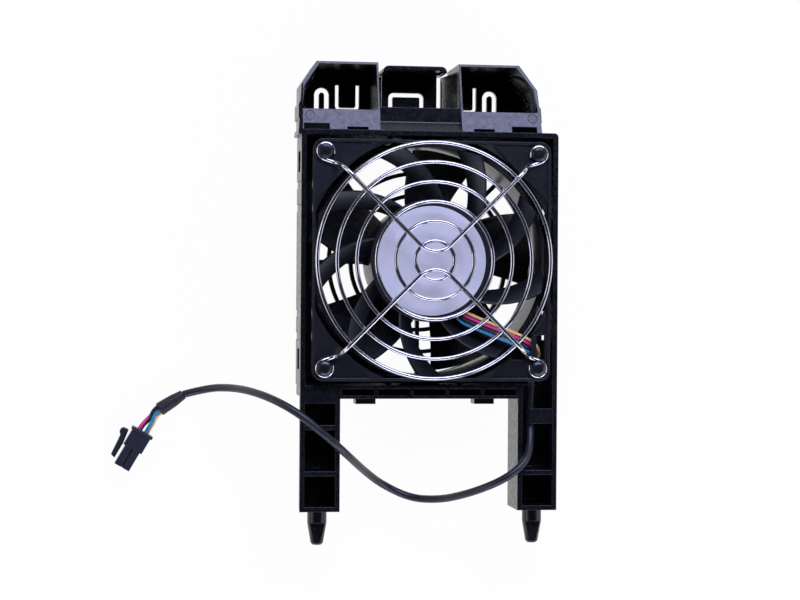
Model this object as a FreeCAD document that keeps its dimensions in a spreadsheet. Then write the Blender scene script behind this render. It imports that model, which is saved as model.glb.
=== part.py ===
"""Hot-swap cooling fan module: a square axial fan in a moulded carrier, with a wire guard and a plug lead.

The module lies on its back. +X is to the right and +Y towards the finger cups as seen from the guard side,
+Z points out of the guard. The floor is Z = 0 under the carrier's back, and the origin is the middle of the
module's footprint. Lengths are millimetres and angles degrees.
"""
import FreeCAD
import Part
import Sketcher
import math
import os
from types import SimpleNamespace

V = FreeCAD.Vector

# Driving sizes: alias, value, meaning
SIZES = [
    ("fan_size", 92.0, "side of the square fan"),
    ("fan_depth", 38.0, "fan thickness along its axis"),
    ("fan_corner", 4.0, "corner radius of the fan flanges"),
    ("hole_inset", 4.75, "corner holes in from the fan's edges"),
    ("hole_bore", 4.3, "diameter of the corner holes"),
    ("duct_margin", 1.8, "fan edge to the air duct at its nearest"),
    ("duct_wall", 1.5, "duct wall where it is narrowest"),
    ("flange", 4.0, "flange thickness"),
    ("rim_width", 1.0, "raised rim round the flange face"),
    ("rim_rise", 0.8, "height of that rim"),
    ("rim_corner", 1.6, "cut corner of the recess inside that rim"),
    ("flare_step", 3.9, "straight edge of the corner flare beyond the duct"),
    ("flare_depth", 8.0, "axial length of the corner flare"),
    ("hub_radius", 23.5, "motor base outside radius"),
    ("hub_recess", 2.0, "motor base face behind the flange face"),
    ("hub_face", 1.8, "thickness of the motor base face"),
    ("hub_skirt", 1.5, "wall of the motor base skirt"),
    ("hub_skirt_depth", 8.0, "axial length of the motor base"),
    ("vane_count", 9.0, "stator vanes"),
    ("vane_thick", 1.6, "vane thickness"),
    ("vane_depth", 6.6, "axial length of a vane"),
    ("vane_recess", 3.2, "front edge of a vane behind the flange face"),
    ("vane_angle", -1.5, "front edge angle of the first vane at the hub"),
    ("vane_sweep", 26.0, "turn of a vane from hub to duct"),
    ("vane_lean", 12.0, "turn of a vane from its front to its rear edge"),
    ("blade_count", 5.0, "impeller blades"),
    ("blade_thick", 1.5, "blade thickness"),
    ("blade_angle", 17.0, "angle of the first blade's middle at mid span"),
    ("blade_sweep", -10.0, "turn of the blade's middle from hub to tip"),
    ("blade_wrap_hub", 48.0, "turn of a blade from rear to front edge at the hub"),
    ("blade_wrap_tip", 37.0, "the same at the tip"),
    ("blade_chord", 21.5, "axial length of a blade"),
    ("tip_gap", 0.8, "blade tip to duct"),
    ("rotor_gap", 0.6, "axial running gap between impeller and motor base"),
    ("rotor_radius", 22.8, "impeller hub outside radius"),
    ("rotor_wall", 1.8, "impeller hub wall"),
    ("rotor_rear", 2.0, "impeller rear face in from the fan's rear face"),
    ("rotor_round", 3.0, "rounding of the impeller hub's rear edge"),
    ("seat_gap", 0.05, "clearance of pieces seated round each other"),
    ("yoke_wall", 1.2, "steel yoke wall"),
    ("magnet_wall", 3.0, "magnet ring wall"),
    ("magnet_height", 13.0, "magnet ring length"),
    ("air_gap", 0.6, "magnet to stator teeth"),
    ("stack_height", 10.0, "stator lamination stack"),
    ("tooth_count", 6.0, "stator teeth"),
    ("tooth_width", 3.2, "stator tooth neck"),
    ("tooth_tip", 1.6, "radial thickness of a tooth tip"),
    ("tooth_opening", 10.0, "angle between neighbouring tooth tips"),
    ("core_ring", 3.0, "radial thickness of the stator's inner ring"),
    ("coil_wall", 1.9, "winding thickness round a tooth"),
    ("coil_gap", 0.15, "slot liner between tooth and winding"),
    ("board_radius", 19.0, "circuit board radius"),
    ("board_thick", 1.2, "circuit board thickness"),
    ("board_post", 3.8, "stand-off from the motor base face to the board"),
    ("shaft_radius", 1.5, "rotor shaft radius"),
    ("bearing_radius", 4.0, "ball bearing outside radius"),
    ("bearing_width", 4.0, "ball bearing width"),
    ("race_wall", 0.65, "radial thickness of a bearing ring"),
    ("ball_count", 7.0, "balls in a bearing"),
    ("tube_wall", 1.0, "bearing tube wall"),
    ("boss_wall", 2.0, "plastic boss round a metal piece"),
    ("shaft_fit", 0.02, "seated fit of the shaft and of stacked pieces"),
    ("ball_fit", 0.03, "running fit of the bearing balls"),
    ("clip_thick", 0.5, "shaft clip thickness"),
    ("label_radius", 21.0, "blank hub label radius"),
    ("label_thick", 0.15, "label thickness"),
    ("ring_wire", 1.5, "guard ring wire diameter"),
    ("spoke_wire", 1.6, "guard spoke wire diameter"),
    ("ring_count", 6.0, "guard rings"),
    ("ring_over", 0.6, "outer guard ring beyond the duct"),
    ("guard_stand", 5.7, "guard rings in front of the fan face"),
    ("loop_radius", 2.9, "guard corner loop radius"),
    ("spoke_step", 2.6, "run of the guard's step down to its corner loops"),
    ("spoke_reach", 4.2, "step of a spoke wire beyond the outer ring"),
    ("spoke_bend", 8.5, "bend of a spoke wire above the hub"),
    ("rivet_head", 5.9, "rivet head diameter"),
    ("rivet_rise", 1.1, "rivet head height"),
    ("rivet_shank", 4.0, "rivet shank diameter"),
    ("rear_wall", 2.4, "carrier rear wall and grille"),
    ("front_setback", 5.0, "carrier front edge behind the fan face"),
    ("side_wall", 2.0, "carrier side walls"),
    ("fan_gap", 2.0, "space between fan and carrier walls"),
    ("rear_fit", 0.3, "space between fan and side walls in the rear half"),
    ("rib_clear", 0.2, "locating ribs and snap nibs to the fan"),
    ("rib_thick", 2.0, "locating rib thickness"),
    ("rib_place", 14.0, "locating ribs off the middle of a wall"),
    ("nib_inset", 8.0, "middle of the snap nibs in from the fan's edges"),
    ("nib_length", 8.0, "snap nib length"),
    ("nib_hold", 0.8, "snap nib overlap on the fan's rear flange"),
    ("nib_rise", 2.2, "snap nib height"),
    ("window_rise", 6.4, "side windows above the rear of the side band"),
    ("window_height", 8.0, "side window height"),
    ("finger_place", 24.9, "middle of the side snap fingers off the fan axis"),
    ("finger_width", 6.2, "side snap finger width"),
    ("finger_slot", 2.6, "slots that free the snap fingers"),
    ("finger_root", 2.0, "snap finger root behind the front edge"),
    ("frame_corner", 1.6, "rounded front corner of the carrier"),
    ("grille_over", 0.4, "rear air opening beyond the duct"),
    ("grille_pitch", 8.8, "spacing of the grille rings"),
    ("grille_bar", 1.6, "grille bar width"),
    ("grille_spokes", 8.0, "grille spokes"),
    ("beam_height", 5.0, "lower cross beam"),
    ("beam_wall", 1.2, "walls of the beam's cells"),
    ("beam_cell_depth", 10.0, "depth of the beam's cells"),
    ("beam_cells", 5.0, "cells along the beam"),
    ("foot_place", 23.4, "small feet under the beam off the middle"),
    ("foot_width", 7.8, "small foot width"),
    ("foot_drop", 2.6, "small foot height"),
    ("foot_depth", 8.0, "small foot depth"),
    ("foot_rise", 16.0, "small foot above the floor"),
    ("leg_width", 15.4, "leg width"),
    ("leg_drop", 43.2, "leg length below the beam"),
    ("leg_depth", 19.5, "leg depth from the front"),
    ("leg_wall", 1.8, "leg wall"),
    ("leg_rib_low", 28.6, "lower leg rib below the beam"),
    ("leg_rib_high", 11.0, "upper rib of the left leg below the beam"),
    ("peg_root", 7.5, "locating peg diameter"),
    ("peg_point", 4.8, "peg point diameter"),
    ("peg_straight", 5.0, "straight length of a peg"),
    ("peg_length", 13.5, "peg length"),
    ("peg_flat", 2.3, "flat on the front of a peg's taper, off its axis"),
    ("peg_chamfer", 0.7, "broken edge of a peg's point"),
    ("cable_clip_drop", 6.8, "middle of the cable clip below the beam"),
    ("cable_clip_height", 5.8, "cable clip height"),
    ("cable_clip_reach", 8.8, "cable clip reach from the leg's outer wall"),
    ("cable_clip_sink", 0.6, "cable clip behind the carrier's front edge"),
    ("cable_clip_thick", 1.6, "cable clip thickness"),
    ("handle_width", 94.8, "width over both finger cups"),
    ("handle_shift", 3.8, "finger cups off the fan axis"),
    ("handle_rise", 27.0, "finger cups above the frame"),
    ("handle_lean", 9.4, "cup front set back at the top"),
    ("bay_width", 31.6, "thumb bay between the finger cups"),
    ("cup_wall", 2.0, "finger cup outer walls and rear wall"),
    ("cup_side", 1.2, "finger cup wall beside the thumb bay"),
    ("cup_draft", 2.2, "cups drawn in from front to rear"),
    ("cup_taper", 1.0, "cups narrower at the cut corner than at the frame"),
    ("cup_bevel_x", 7.6, "width of the cups' cut corner"),
    ("cup_bevel_y", 10.0, "height of the cups' cut corner"),
    ("guide_low", 4.0, "outer guide ramp of a cup above the frame"),
    ("guide_length", 8.5, "outer guide ramp length"),
    ("guide_ramp", 3.0, "sloping end of the guide ramp"),
    ("guide_root", 1.6, "guide ramp root inside the cup's outer face"),
    ("lip_rise", 8.0, "front lip of the cups above the frame"),
    ("lip_wall", 2.0, "front lip thickness"),
    ("bay_lip_setback", 4.0, "middle lip behind the cup lips"),
    ("bay_rail", 3.0, "rear rails beside the release tab"),
    ("lip_notch_place", 40.4, "middle of the lip notches off the middle of the cups"),
    ("lip_notch_width", 9.8, "lip notch width"),
    ("lip_notch_rise", 2.2, "lip notch above the frame"),
    ("lip_slit_place", 24.6, "middle of the lip slits off the middle of the cups"),
    ("lip_slit_width", 8.0, "lip slit width"),
    ("lip_slit_height", 1.0, "lip slit height"),
    ("slot_shift", 5.1, "middle of the rear slots, left of the fan axis"),
    ("slot_bar", 1.9, "width of the narrow tongue slots"),
    ("catch_bar", 1.4, "width of the wide tongue slots"),
    ("slot_corner", 2.2, "outer corner radius of the square tongue slots"),
    ("tongue_slot_place", 34.05, "narrow tongue slots off the middle of the slots"),
    ("tongue_slot_outer", 5.9, "width over a narrow tongue slot"),
    ("tongue_slot_rise", 19.4, "top of the narrow tongue slots above the frame"),
    ("catch_slot_place", 23.8, "wide tongue slots off the middle of the slots"),
    ("catch_slot_outer", 9.6, "width over a wide tongue slot"),
    ("catch_slot_top", 20.6, "top of the wide tongue slots above the frame"),
    ("catch_slot_bottom", 10.2, "bottom of the wide tongue slots above the frame"),
    ("tab_width", 22.2, "release tab width"),
    ("tab_thick", 2.0, "release tab thickness"),
    ("tab_root_gap", 0.3, "release tab root clear of the frame"),
    ("tab_cap_width", 25.4, "release tab cap width"),
    ("tab_cap_height", 2.4, "release tab cap height"),
    ("tab_cap_depth", 8.0, "release tab cap depth"),
    ("tab_slot_outer", 14.3, "width over the release tab's slot"),
    ("tab_slot_bar", 1.7, "width of that slot"),
    ("tab_slot_top", 18.0, "top of that slot above the frame"),
    ("tab_corner", 2.2, "rounded corners of the release tab's cap"),
    ("lead_wire", 1.1, "lead diameter over insulation"),
    ("lead_pitch", 1.45, "leads side by side"),
    ("lead_angle", -59.5, "direction in which the leads leave the hub"),
    ("lead_notch", 7.8, "width of the notch they leave by"),
    ("slot_side_far", 14.8, "flange slot of the leads in from the fan's side, far edge"),
    ("slot_side_near", 1.6, "the same, near edge"),
    ("slot_end_far", 17.6, "flange slot of the leads in from the fan's lower side, far edge"),
    ("slot_end_near", 8.2, "the same, near edge"),
    ("lead_bar_width", 2.0, "bar that holds the leads down in that slot"),
    ("lead_bar_thick", 0.5, "thickness of that bar"),
    ("lead_bar_place", 6.1, "middle of that bar in from the fan's side"),
    ("lead_drift", 10.2, "turn of the leads on their way from the hub to the duct"),
    ("lead_turn_side", 6.2, "leads turn down in the fan's corner, in from its side"),
    ("lead_turn_end", 12.8, "the same, in from its lower side"),
    ("lead_slope_side", 7.7, "leads slope towards that turn from this far aside"),
    ("lead_slope_end", 3.8, "and from this far above it"),
    ("lead_gather_back", 5.8, "leads gather this far before the sleeve"),
    ("lead_gather_rise", 3.6, "and this far above it"),
    ("lead_enter_back", 2.6, "leads are bundled this far before the sleeve"),
    ("lead_bundle", 0.6, "leads off the sleeve's axis where they enter it"),
    ("lead_straight", 0.3, "share of a plug lead that runs straight at each end"),
    ("sleeve_wire", 3.0, "cable sleeve diameter"),
    ("shrink_radius", 2.5, "shrink tube radius"),
    ("shrink_length", 11.0, "shrink tube length"),
    ("shrink_angle", 32.5, "direction of the shrink tube on the floor"),
    ("plug_left", 15.6, "plug back left of the sleeve's end"),
    ("plug_low", 14.3, "plug back below the sleeve's end"),
    ("plug_pitch", 3.0, "plug contact pitch"),
    ("plug_width", 8.0, "plug body width"),
    ("plug_height", 7.0, "plug body height"),
    ("plug_body", 8.0, "plug body length"),
    ("plug_nose", 8.2, "plug nose length"),
    ("plug_nose_width", 6.4, "plug nose width"),
    ("plug_cell", 2.4, "plug contact cell"),
    ("contact_seat", 3.0, "plug contact inside the cell's ends"),
    ("contact_clear", 0.15, "plug contact to its cell"),
    ("plug_angle", 239.6, "direction of the plug on the floor"),
    ("latch_rear", 2.4, "plug latch lever's rear end from the plug's back"),
    ("latch_gap", 0.9, "plug latch lever off the plug"),
    ("latch_thick", 1.4, "plug latch lever thickness"),
    ("latch_length", 12.5, "plug latch lever length"),
    ("latch_height", 3.4, "plug latch lever height"),
    ("latch_hinge", 6.5, "plug latch hinge from the lever's rear end"),
]

# Cable sleeve route to the shrink tube, from the fan's lower right corner and above the floor
CORD_ROUTE = [
    (-5.0, 4.4, 31.0),
    (-5.5, -3.2, 31.0),
    (-5.7, -10.8, 30.9),
    (-5.8, -18.4, 31.4),
    (-6.4, -25.6, 35.2),
    (-9.7, -31.6, 40.6),
    (-17.2, -37.2, 41.8),
    (-25.2, -41.4, 37.6),
    (-32.4, -44.9, 28.9),
    (-39.4, -47.5, 19.2),
    (-49.6, -47.7, 11.2),
    (-61.2, -42.1, 10.5),
    (-68.5, -36.5, 19.5),
    (-73.6, -32.2, 30.0),
    (-79.4, -27.0, 39.4),
    (-87.2, -20.2, 42.2),
    (-96.6, -12.4, 41.8),
    (-106.3, -7.0, 36.4),
    (-114.3, -4.4, 25.5),
    (-121.0, -3.7, 12.9),
    (-129.8, -4.2, 4.8),
    (-139.3, -6.9, 2.5),
]

doc = FreeCAD.newDocument("fan_module")
sheet = doc.addObject("Spreadsheet::Sheet", "Sizes")


class Size:
    """A number that also carries the sheet expression it comes from."""

    def __init__(self, text, value):
        self.text = text
        self.value = value

    @staticmethod
    def of(other):
        return other if isinstance(other, Size) else Size(f"({float(other)!r})", float(other))

    def __add__(self, other):
        other = Size.of(other)
        return Size(f"({self.text} + {other.text})", self.value + other.value)

    def __sub__(self, other):
        other = Size.of(other)
        return Size(f"({self.text} - {other.text})", self.value - other.value)

    def __mul__(self, other):
        other = Size.of(other)
        return Size(f"({self.text} * {other.text})", self.value * other.value)

    def __truediv__(self, other):
        other = Size.of(other)
        return Size(f"({self.text} / {other.text})", self.value / other.value)

    def __neg__(self):
        return Size(f"(-1 * {self.text})", -self.value)

    def __float__(self):
        return self.value

    def __radd__(self, other):
        return Size.of(other) + self

    def __rsub__(self, other):
        return Size.of(other) - self

    def __rmul__(self, other):
        return Size.of(other) * self


def read_sizes():
    """Fills the sheet and returns its cells as sizes, by alias."""
    cells = {}
    for row, (alias, value, meaning) in enumerate(SIZES, start=1):
        sheet.set(f"A{row}", meaning)
        sheet.set(f"B{row}", str(value))
        sheet.setAlias(f"B{row}", alias)
        cells[alias] = Size(f"Sizes.{alias}", value)
    doc.recompute()
    return SimpleNamespace(**cells)


s = read_sizes()

# Places that several pieces share
fan_half = s.fan_size / 2
hole_place = fan_half - s.hole_inset
duct_radius = fan_half - s.duct_margin
flare_reach = duct_radius + s.flare_step
ring_outer = duct_radius + s.ring_over
fan_back = s.rear_wall
fan_front = s.rear_wall + s.fan_depth
carrier_front = fan_front - s.front_setback
bay_half = fan_half + s.fan_gap
frame_half = bay_half + s.side_wall
rear_half = fan_half + s.rear_fit
band_back = carrier_front - s.leg_depth
beam_bottom = bay_half + s.beam_height
leg_bottom = beam_bottom + s.leg_drop
leg_inner = frame_half - s.leg_width
peg_x = frame_half - s.leg_width / 2
peg_z = carrier_front - s.leg_depth / 2
peg_tip = leg_bottom + s.peg_length
handle_top = frame_half + s.handle_rise
handle_left = s.handle_width / 2 + s.handle_shift
handle_right = s.handle_width / 2 - s.handle_shift
bay_left = s.bay_width / 2 + s.handle_shift
bay_right = s.bay_width / 2 - s.handle_shift
plate_front = fan_front - s.rim_rise
hub_front = fan_front - s.hub_recess
hub_inside = hub_front - s.hub_face
hub_rear = hub_front - s.hub_skirt_depth
rotor_back = fan_back + s.rotor_rear
rotor_front = hub_rear - s.rotor_gap
yoke_radius = s.rotor_radius - s.rotor_wall - s.seat_gap
magnet_radius = yoke_radius - s.yoke_wall - s.seat_gap
tooth_radius = magnet_radius - s.magnet_wall - s.air_gap
shaft_boss = s.shaft_radius + s.boss_wall
boss_front = rotor_back + s.rotor_wall + s.boss_wall * 2
tube_rear = boss_front + s.boss_wall
tube_inner = s.bearing_radius + s.seat_gap
tube_outer = tube_inner + s.tube_wall
board_front = hub_inside - s.board_post
board_rear = board_front - s.board_thick
cable_end_x = fan_half + CORD_ROUTE[-1][0]
cable_end_y = CORD_ROUTE[-1][1] - fan_half
stack_middle = (rotor_back + rotor_front + s.rotor_wall) / 2
# The fan axis in the part's frame, whose origin is the middle of the module's outline
axis_x = (handle_left - frame_half) / 2
axis_y = (peg_tip - handle_top) / 2


def bind(obj, prop, size):
    obj.setExpression(prop, Size.of(size).text)


def place(obj, x=0, y=0, z=0, angle=0):
    """Sets an object at a place about the fan axis, turned about Z."""
    obj.Placement = FreeCAD.Placement(V(0, 0, 0), FreeCAD.Rotation(V(0, 0, 1), 0))
    for prop, size in (("x", axis_x + x), ("y", axis_y + y), ("z", Size.of(z))):
        bind(obj, f"Placement.Base.{prop}", size)
    bind(obj, "Placement.Rotation.Angle", angle)
    return obj


def new_body(name, **where):
    return place(doc.addObject("PartDesign::Body", name), **where)


def origin_plane(body, role):
    return next(f for f in body.Origin.OriginFeatures if f.Role == role)


def sketch_on(body, role="XY_Plane", at=0, x=0):
    """A sketch on one of the body's planes, moved along the plane's normal and its first axis."""
    sketch = body.newObject("Sketcher::SketchObject", "Sketch")
    sketch.AttachmentSupport = [(origin_plane(body, role), "")]
    sketch.MapMode = "FlatFace"
    bind(sketch, "AttachmentOffset.Base.z", at)
    bind(sketch, "AttachmentOffset.Base.x", x)
    return sketch


def hold(sketch, kind, geo, point, size):
    """Ties one coordinate of a sketch point to the sheet."""
    size = Size.of(size)
    index = sketch.addConstraint(Sketcher.Constraint(kind, -1, 1, geo, point, size.value))
    sketch.setExpression(f"Constraints[{index}]", size.text)


def hold_point(sketch, geo, point, x, y):
    hold(sketch, "DistanceX", geo, point, x)
    hold(sketch, "DistanceY", geo, point, y)


def polygon(sketch, points):
    """A closed outline through the points."""
    first = sketch.GeometryCount
    count = len(points)
    corners = [V(float(x), float(y), 0) for x, y in points]
    for i in range(count):
        sketch.addGeometry(Part.LineSegment(corners[i], corners[(i + 1) % count]), False)
    for i in range(count):
        sketch.addConstraint(Sketcher.Constraint("Coincident", first + i, 2, first + (i + 1) % count, 1))
        hold_point(sketch, first + i, 1, *points[i])


def held_line(sketch, x0, y0, x1, y1):
    """A line with both ends tied to the sheet."""
    geo = sketch.addGeometry(Part.LineSegment(V(float(x0), float(y0), 0), V(float(x1), float(y1), 0)), False)
    hold_point(sketch, geo, 1, x0, y0)
    hold_point(sketch, geo, 2, x1, y1)
    return geo


def rectangle(sketch, x0, y0, x1, y1):
    polygon(sketch, [(x0, y0), (x1, y0), (x1, y1), (x0, y1)])


def circle(sketch, x, y, radius):
    radius = Size.of(radius)
    geo = sketch.addGeometry(Part.Circle(V(float(x), float(y), 0), V(0, 0, 1), radius.value), False)
    hold_point(sketch, geo, 3, x, y)
    index = sketch.addConstraint(Sketcher.Constraint("Radius", geo, radius.value))
    sketch.setExpression(f"Constraints[{index}]", radius.text)


def arch(sketch, x, foot, top, outer, bar, upright=True):
    """An arch-shaped slot: straight legs joined by a round end, at the top if upright."""
    outer_half = Size.of(outer / 2)
    inner_half = outer_half - bar
    spring = top - outer_half if upright else top + outer_half
    centre = V(float(x), float(spring), 0)
    start, end = (0, math.pi) if upright else (math.pi, 2 * math.pi)
    legs = []
    for side, half in ((-1, outer_half), (1, outer_half), (1, inner_half), (-1, inner_half)):
        at = x + half * side
        line = Part.LineSegment(V(float(at), float(foot), 0), V(float(at), float(spring), 0))
        geo = sketch.addGeometry(line, False)
        hold_point(sketch, geo, 1, at, foot)
        hold_point(sketch, geo, 2, at, spring)
        legs.append(geo)
    for left, right, half in ((legs[0], legs[1], outer_half), (legs[3], legs[2], inner_half)):
        round_end = Part.ArcOfCircle(Part.Circle(centre, V(0, 0, 1), half.value), start, end)
        geo = sketch.addGeometry(round_end, False)
        first, second = (right, left) if upright else (left, right)
        sketch.addConstraint(Sketcher.Constraint("Coincident", geo, 1, first, 2))
        sketch.addConstraint(Sketcher.Constraint("Coincident", geo, 2, second, 2))
        hold(sketch, "DistanceY", geo, 3, spring)
    for left, right in ((legs[0], legs[3]), (legs[1], legs[2])):
        ends = [sketch.getPoint(left, 1), sketch.getPoint(right, 1)]
        geo = sketch.addGeometry(Part.LineSegment(*ends), False)
        sketch.addConstraint(Sketcher.Constraint("Coincident", geo, 1, left, 1))
        sketch.addConstraint(Sketcher.Constraint("Coincident", geo, 2, right, 1))


def bent_slot(sketch, x, foot, top, outer, bar, upright=True):
    """A slot of two straight legs and a bar with rounded corners, at the top if upright."""
    side = 1 if upright else -1
    spring = top - s.slot_corner * side
    half = outer / 2
    inset = half - s.slot_corner
    legs = []
    for reach in (half, half - bar):
        radius = s.slot_corner - (half - reach)
        crest = spring + radius * side
        across = held_line(sketch, x - inset, crest, x + inset, crest)
        for hand, end in ((-1, 1), (1, 2)):
            leg = held_line(sketch, x + reach * hand, foot, x + reach * hand, spring)
            legs.append(leg)
            middle = 90 + 45 * -hand if upright else 270 + 45 * hand
            turn = math.radians(middle)
            centre = V(float(x + inset * hand), float(spring), 0)
            round_end = Part.Circle(centre, V(0, 0, 1), radius.value)
            quarter = Part.ArcOfCircle(round_end, turn - math.pi / 4, turn + math.pi / 4)
            arc = sketch.addGeometry(quarter, False)
            leg_first = (hand == 1) == upright
            leg_end, across_end = (1, 2) if leg_first else (2, 1)
            for point, (geo, at) in ((leg_end, (leg, 2)), (across_end, (across, end))):
                sketch.addConstraint(Sketcher.Constraint("Coincident", arc, point, geo, at))
            hold(sketch, "DistanceY", arc, 3, spring)
    for near, far in ((legs[0], legs[2]), (legs[1], legs[3])):
        ends = [sketch.getPoint(near, 1), sketch.getPoint(far, 1)]
        geo = sketch.addGeometry(Part.LineSegment(*ends), False)
        sketch.addConstraint(Sketcher.Constraint("Coincident", geo, 1, near, 1))
        sketch.addConstraint(Sketcher.Constraint("Coincident", geo, 2, far, 1))


def pad(body, sketch, length, down=False):
    """Grows the sketch along its normal, or against it."""
    feature = body.newObject("PartDesign::Pad", "Pad")
    feature.Profile = sketch
    bind(feature, "Length", length)
    feature.Reversed = down
    return feature


def pocket(body, sketch, length, up=False):
    """Cuts the sketch against its normal, or along it."""
    feature = body.newObject("PartDesign::Pocket", "Pocket")
    feature.Profile = sketch
    bind(feature, "Length", length)
    feature.Reversed = up
    return feature


def spin(body, sketch):
    """Turns the sketch round its own upright axis."""
    feature = body.newObject("PartDesign::Revolution", "Revolution")
    feature.Profile = sketch
    feature.ReferenceAxis = (sketch, ["V_Axis"])
    feature.Angle = 360
    return feature


def around(body, feature, sketch, count):
    """Repeats a feature evenly round the sketch's normal."""
    pattern = body.newObject("PartDesign::PolarPattern", "PolarPattern")
    pattern.Originals = [feature]
    pattern.Axis = (sketch, ["N_Axis"])
    pattern.Angle = 360
    bind(pattern, "Occurrences", count)
    body.Tip = pattern
    return pattern


def mirror(body, feature):
    """Repeats a feature on the other side of the fan axis."""
    copy = body.newObject("PartDesign::Mirrored", "Mirrored")
    copy.Originals = [feature]
    copy.MirrorPlane = (origin_plane(body, "YZ_Plane"), [""])
    body.Tip = copy
    return copy


def turned(name, profile, **where):
    """A body turned about the fan axis, from an outline of radius and height."""
    body = new_body(name, **where)
    sketch = sketch_on(body, "XZ_Plane")
    polygon(sketch, profile)
    spin(body, sketch)
    return body


def ring_profile(inner, outer, low, high):
    return [(inner, low), (outer, low), (outer, high), (inner, high)]


def feature(name, shape):
    """A piece whose shape is worked out here, about the fan axis."""
    obj = doc.addObject("Part::Feature", name)
    obj.Shape = shape
    return place(obj)


def join(name, kind, **links):
    obj = doc.addObject(kind, name)
    for prop, value in links.items():
        setattr(obj, prop, value)
    if hasattr(obj, "Refine"):
        obj.Refine = False
    return obj


def group(name, members):
    return join(name, "Part::Compound", Links=members)


def round_edges(body, radius, wanted):
    """Fillets the edges of the body's last feature that the test accepts."""
    doc.recompute()
    base = body.Tip
    names = [f"Edge{i}" for i, edge in enumerate(base.Shape.Edges, start=1) if wanted(edge)]
    fillet = body.newObject("PartDesign::Fillet", "Fillet")
    fillet.Base = (base, names)
    bind(fillet, "Radius", radius)
    return fillet


def upright_at(x, y):
    """A test for the edge along Z at a place in the body."""
    spot = V(float(x), float(y), 0)

    def wanted(edge):
        ends = [V(vertex.X, vertex.Y, 0) for vertex in edge.Vertexes]
        return len(ends) == 2 and all((end - spot).Length < 0.01 for end in ends)

    return wanted


def rounded_wire(points, share=0.45, largest=math.inf):
    """Straight runs joined by tangent arcs, each as large as its two runs allow, and the arc radii."""
    edges = []
    radii = []
    start = points[0]
    for before, corner, after in zip(points, points[1:], points[2:]):
        back = before - corner
        ahead = after - corner
        half_turn = (math.pi - back.getAngle(ahead)) / 2
        radius = min(share * min(back.Length, ahead.Length) / math.tan(half_turn), largest)
        cut = radius * math.tan(half_turn)
        back.normalize()
        ahead.normalize()
        inward = back + ahead
        inward.normalize()
        middle = corner + inward * (radius / math.cos(half_turn) - radius)
        first = corner + back * cut
        last = corner + ahead * cut
        edges.append(Part.LineSegment(start, first).toShape())
        edges.append(Part.Arc(first, middle, last).toShape())
        radii.append(radius)
        start = last
    edges.append(Part.LineSegment(start, points[-1]).toShape())
    return Part.Wire(edges), radii


def tube(points, radius, share=0.45, largest=math.inf):
    """A round bar along the rounded route."""
    wire, radii = rounded_wire(points, share, largest)
    section = Part.Wire(Part.makeCircle(float(radius), points[0], points[1] - points[0]))
    return wire.makePipeShell([section], True, False), wire.Length, radii


def thick_sheet(point, thickness, rows=7, columns=5, edge=0.6):
    """A solid of the given thickness about the surface point(u, v), thinner towards its u edges."""
    step = 0.01

    def normal(u, v):
        along_u = point(u + step, v) - point(u - step, v)
        along_v = point(u, v + step) - point(u, v - step)
        across = along_u.cross(along_v)
        across.normalize()
        return across

    def skin(side):
        grid = []
        for i in range(rows):
            u = i / (rows - 1)
            half = side * thickness * (edge + 4 * (1 - edge) * u * (1 - u)) / 2
            places = [j / (columns - 1) for j in range(columns)]
            grid.append([point(u, v) + normal(u, v) * half for v in places])
        surface = Part.BSplineSurface()
        surface.interpolate(grid)
        return surface

    top = skin(1)
    bottom = skin(-1)
    faces = [top.toShape(), bottom.toShape()]
    for first, line in ((0, "uIso"), (2, "vIso")):
        for at in (0, 1):
            borders = [getattr(surface, line)(surface.bounds()[first + at])
                       for surface in (top, bottom)]
            faces.append(Part.makeRuledSurface(borders[0].toShape(), borders[1].toShape()))
    shell = Part.Compound(faces)
    shell.sewShape()
    solid = Part.Solid(shell.Shells[0])
    if solid.Volume < 0:
        solid.reverse()
    return solid


def on_circle(radius, angle, height):
    turn = math.radians(angle)
    return V(radius * math.cos(turn), radius * math.sin(turn), height)


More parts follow.
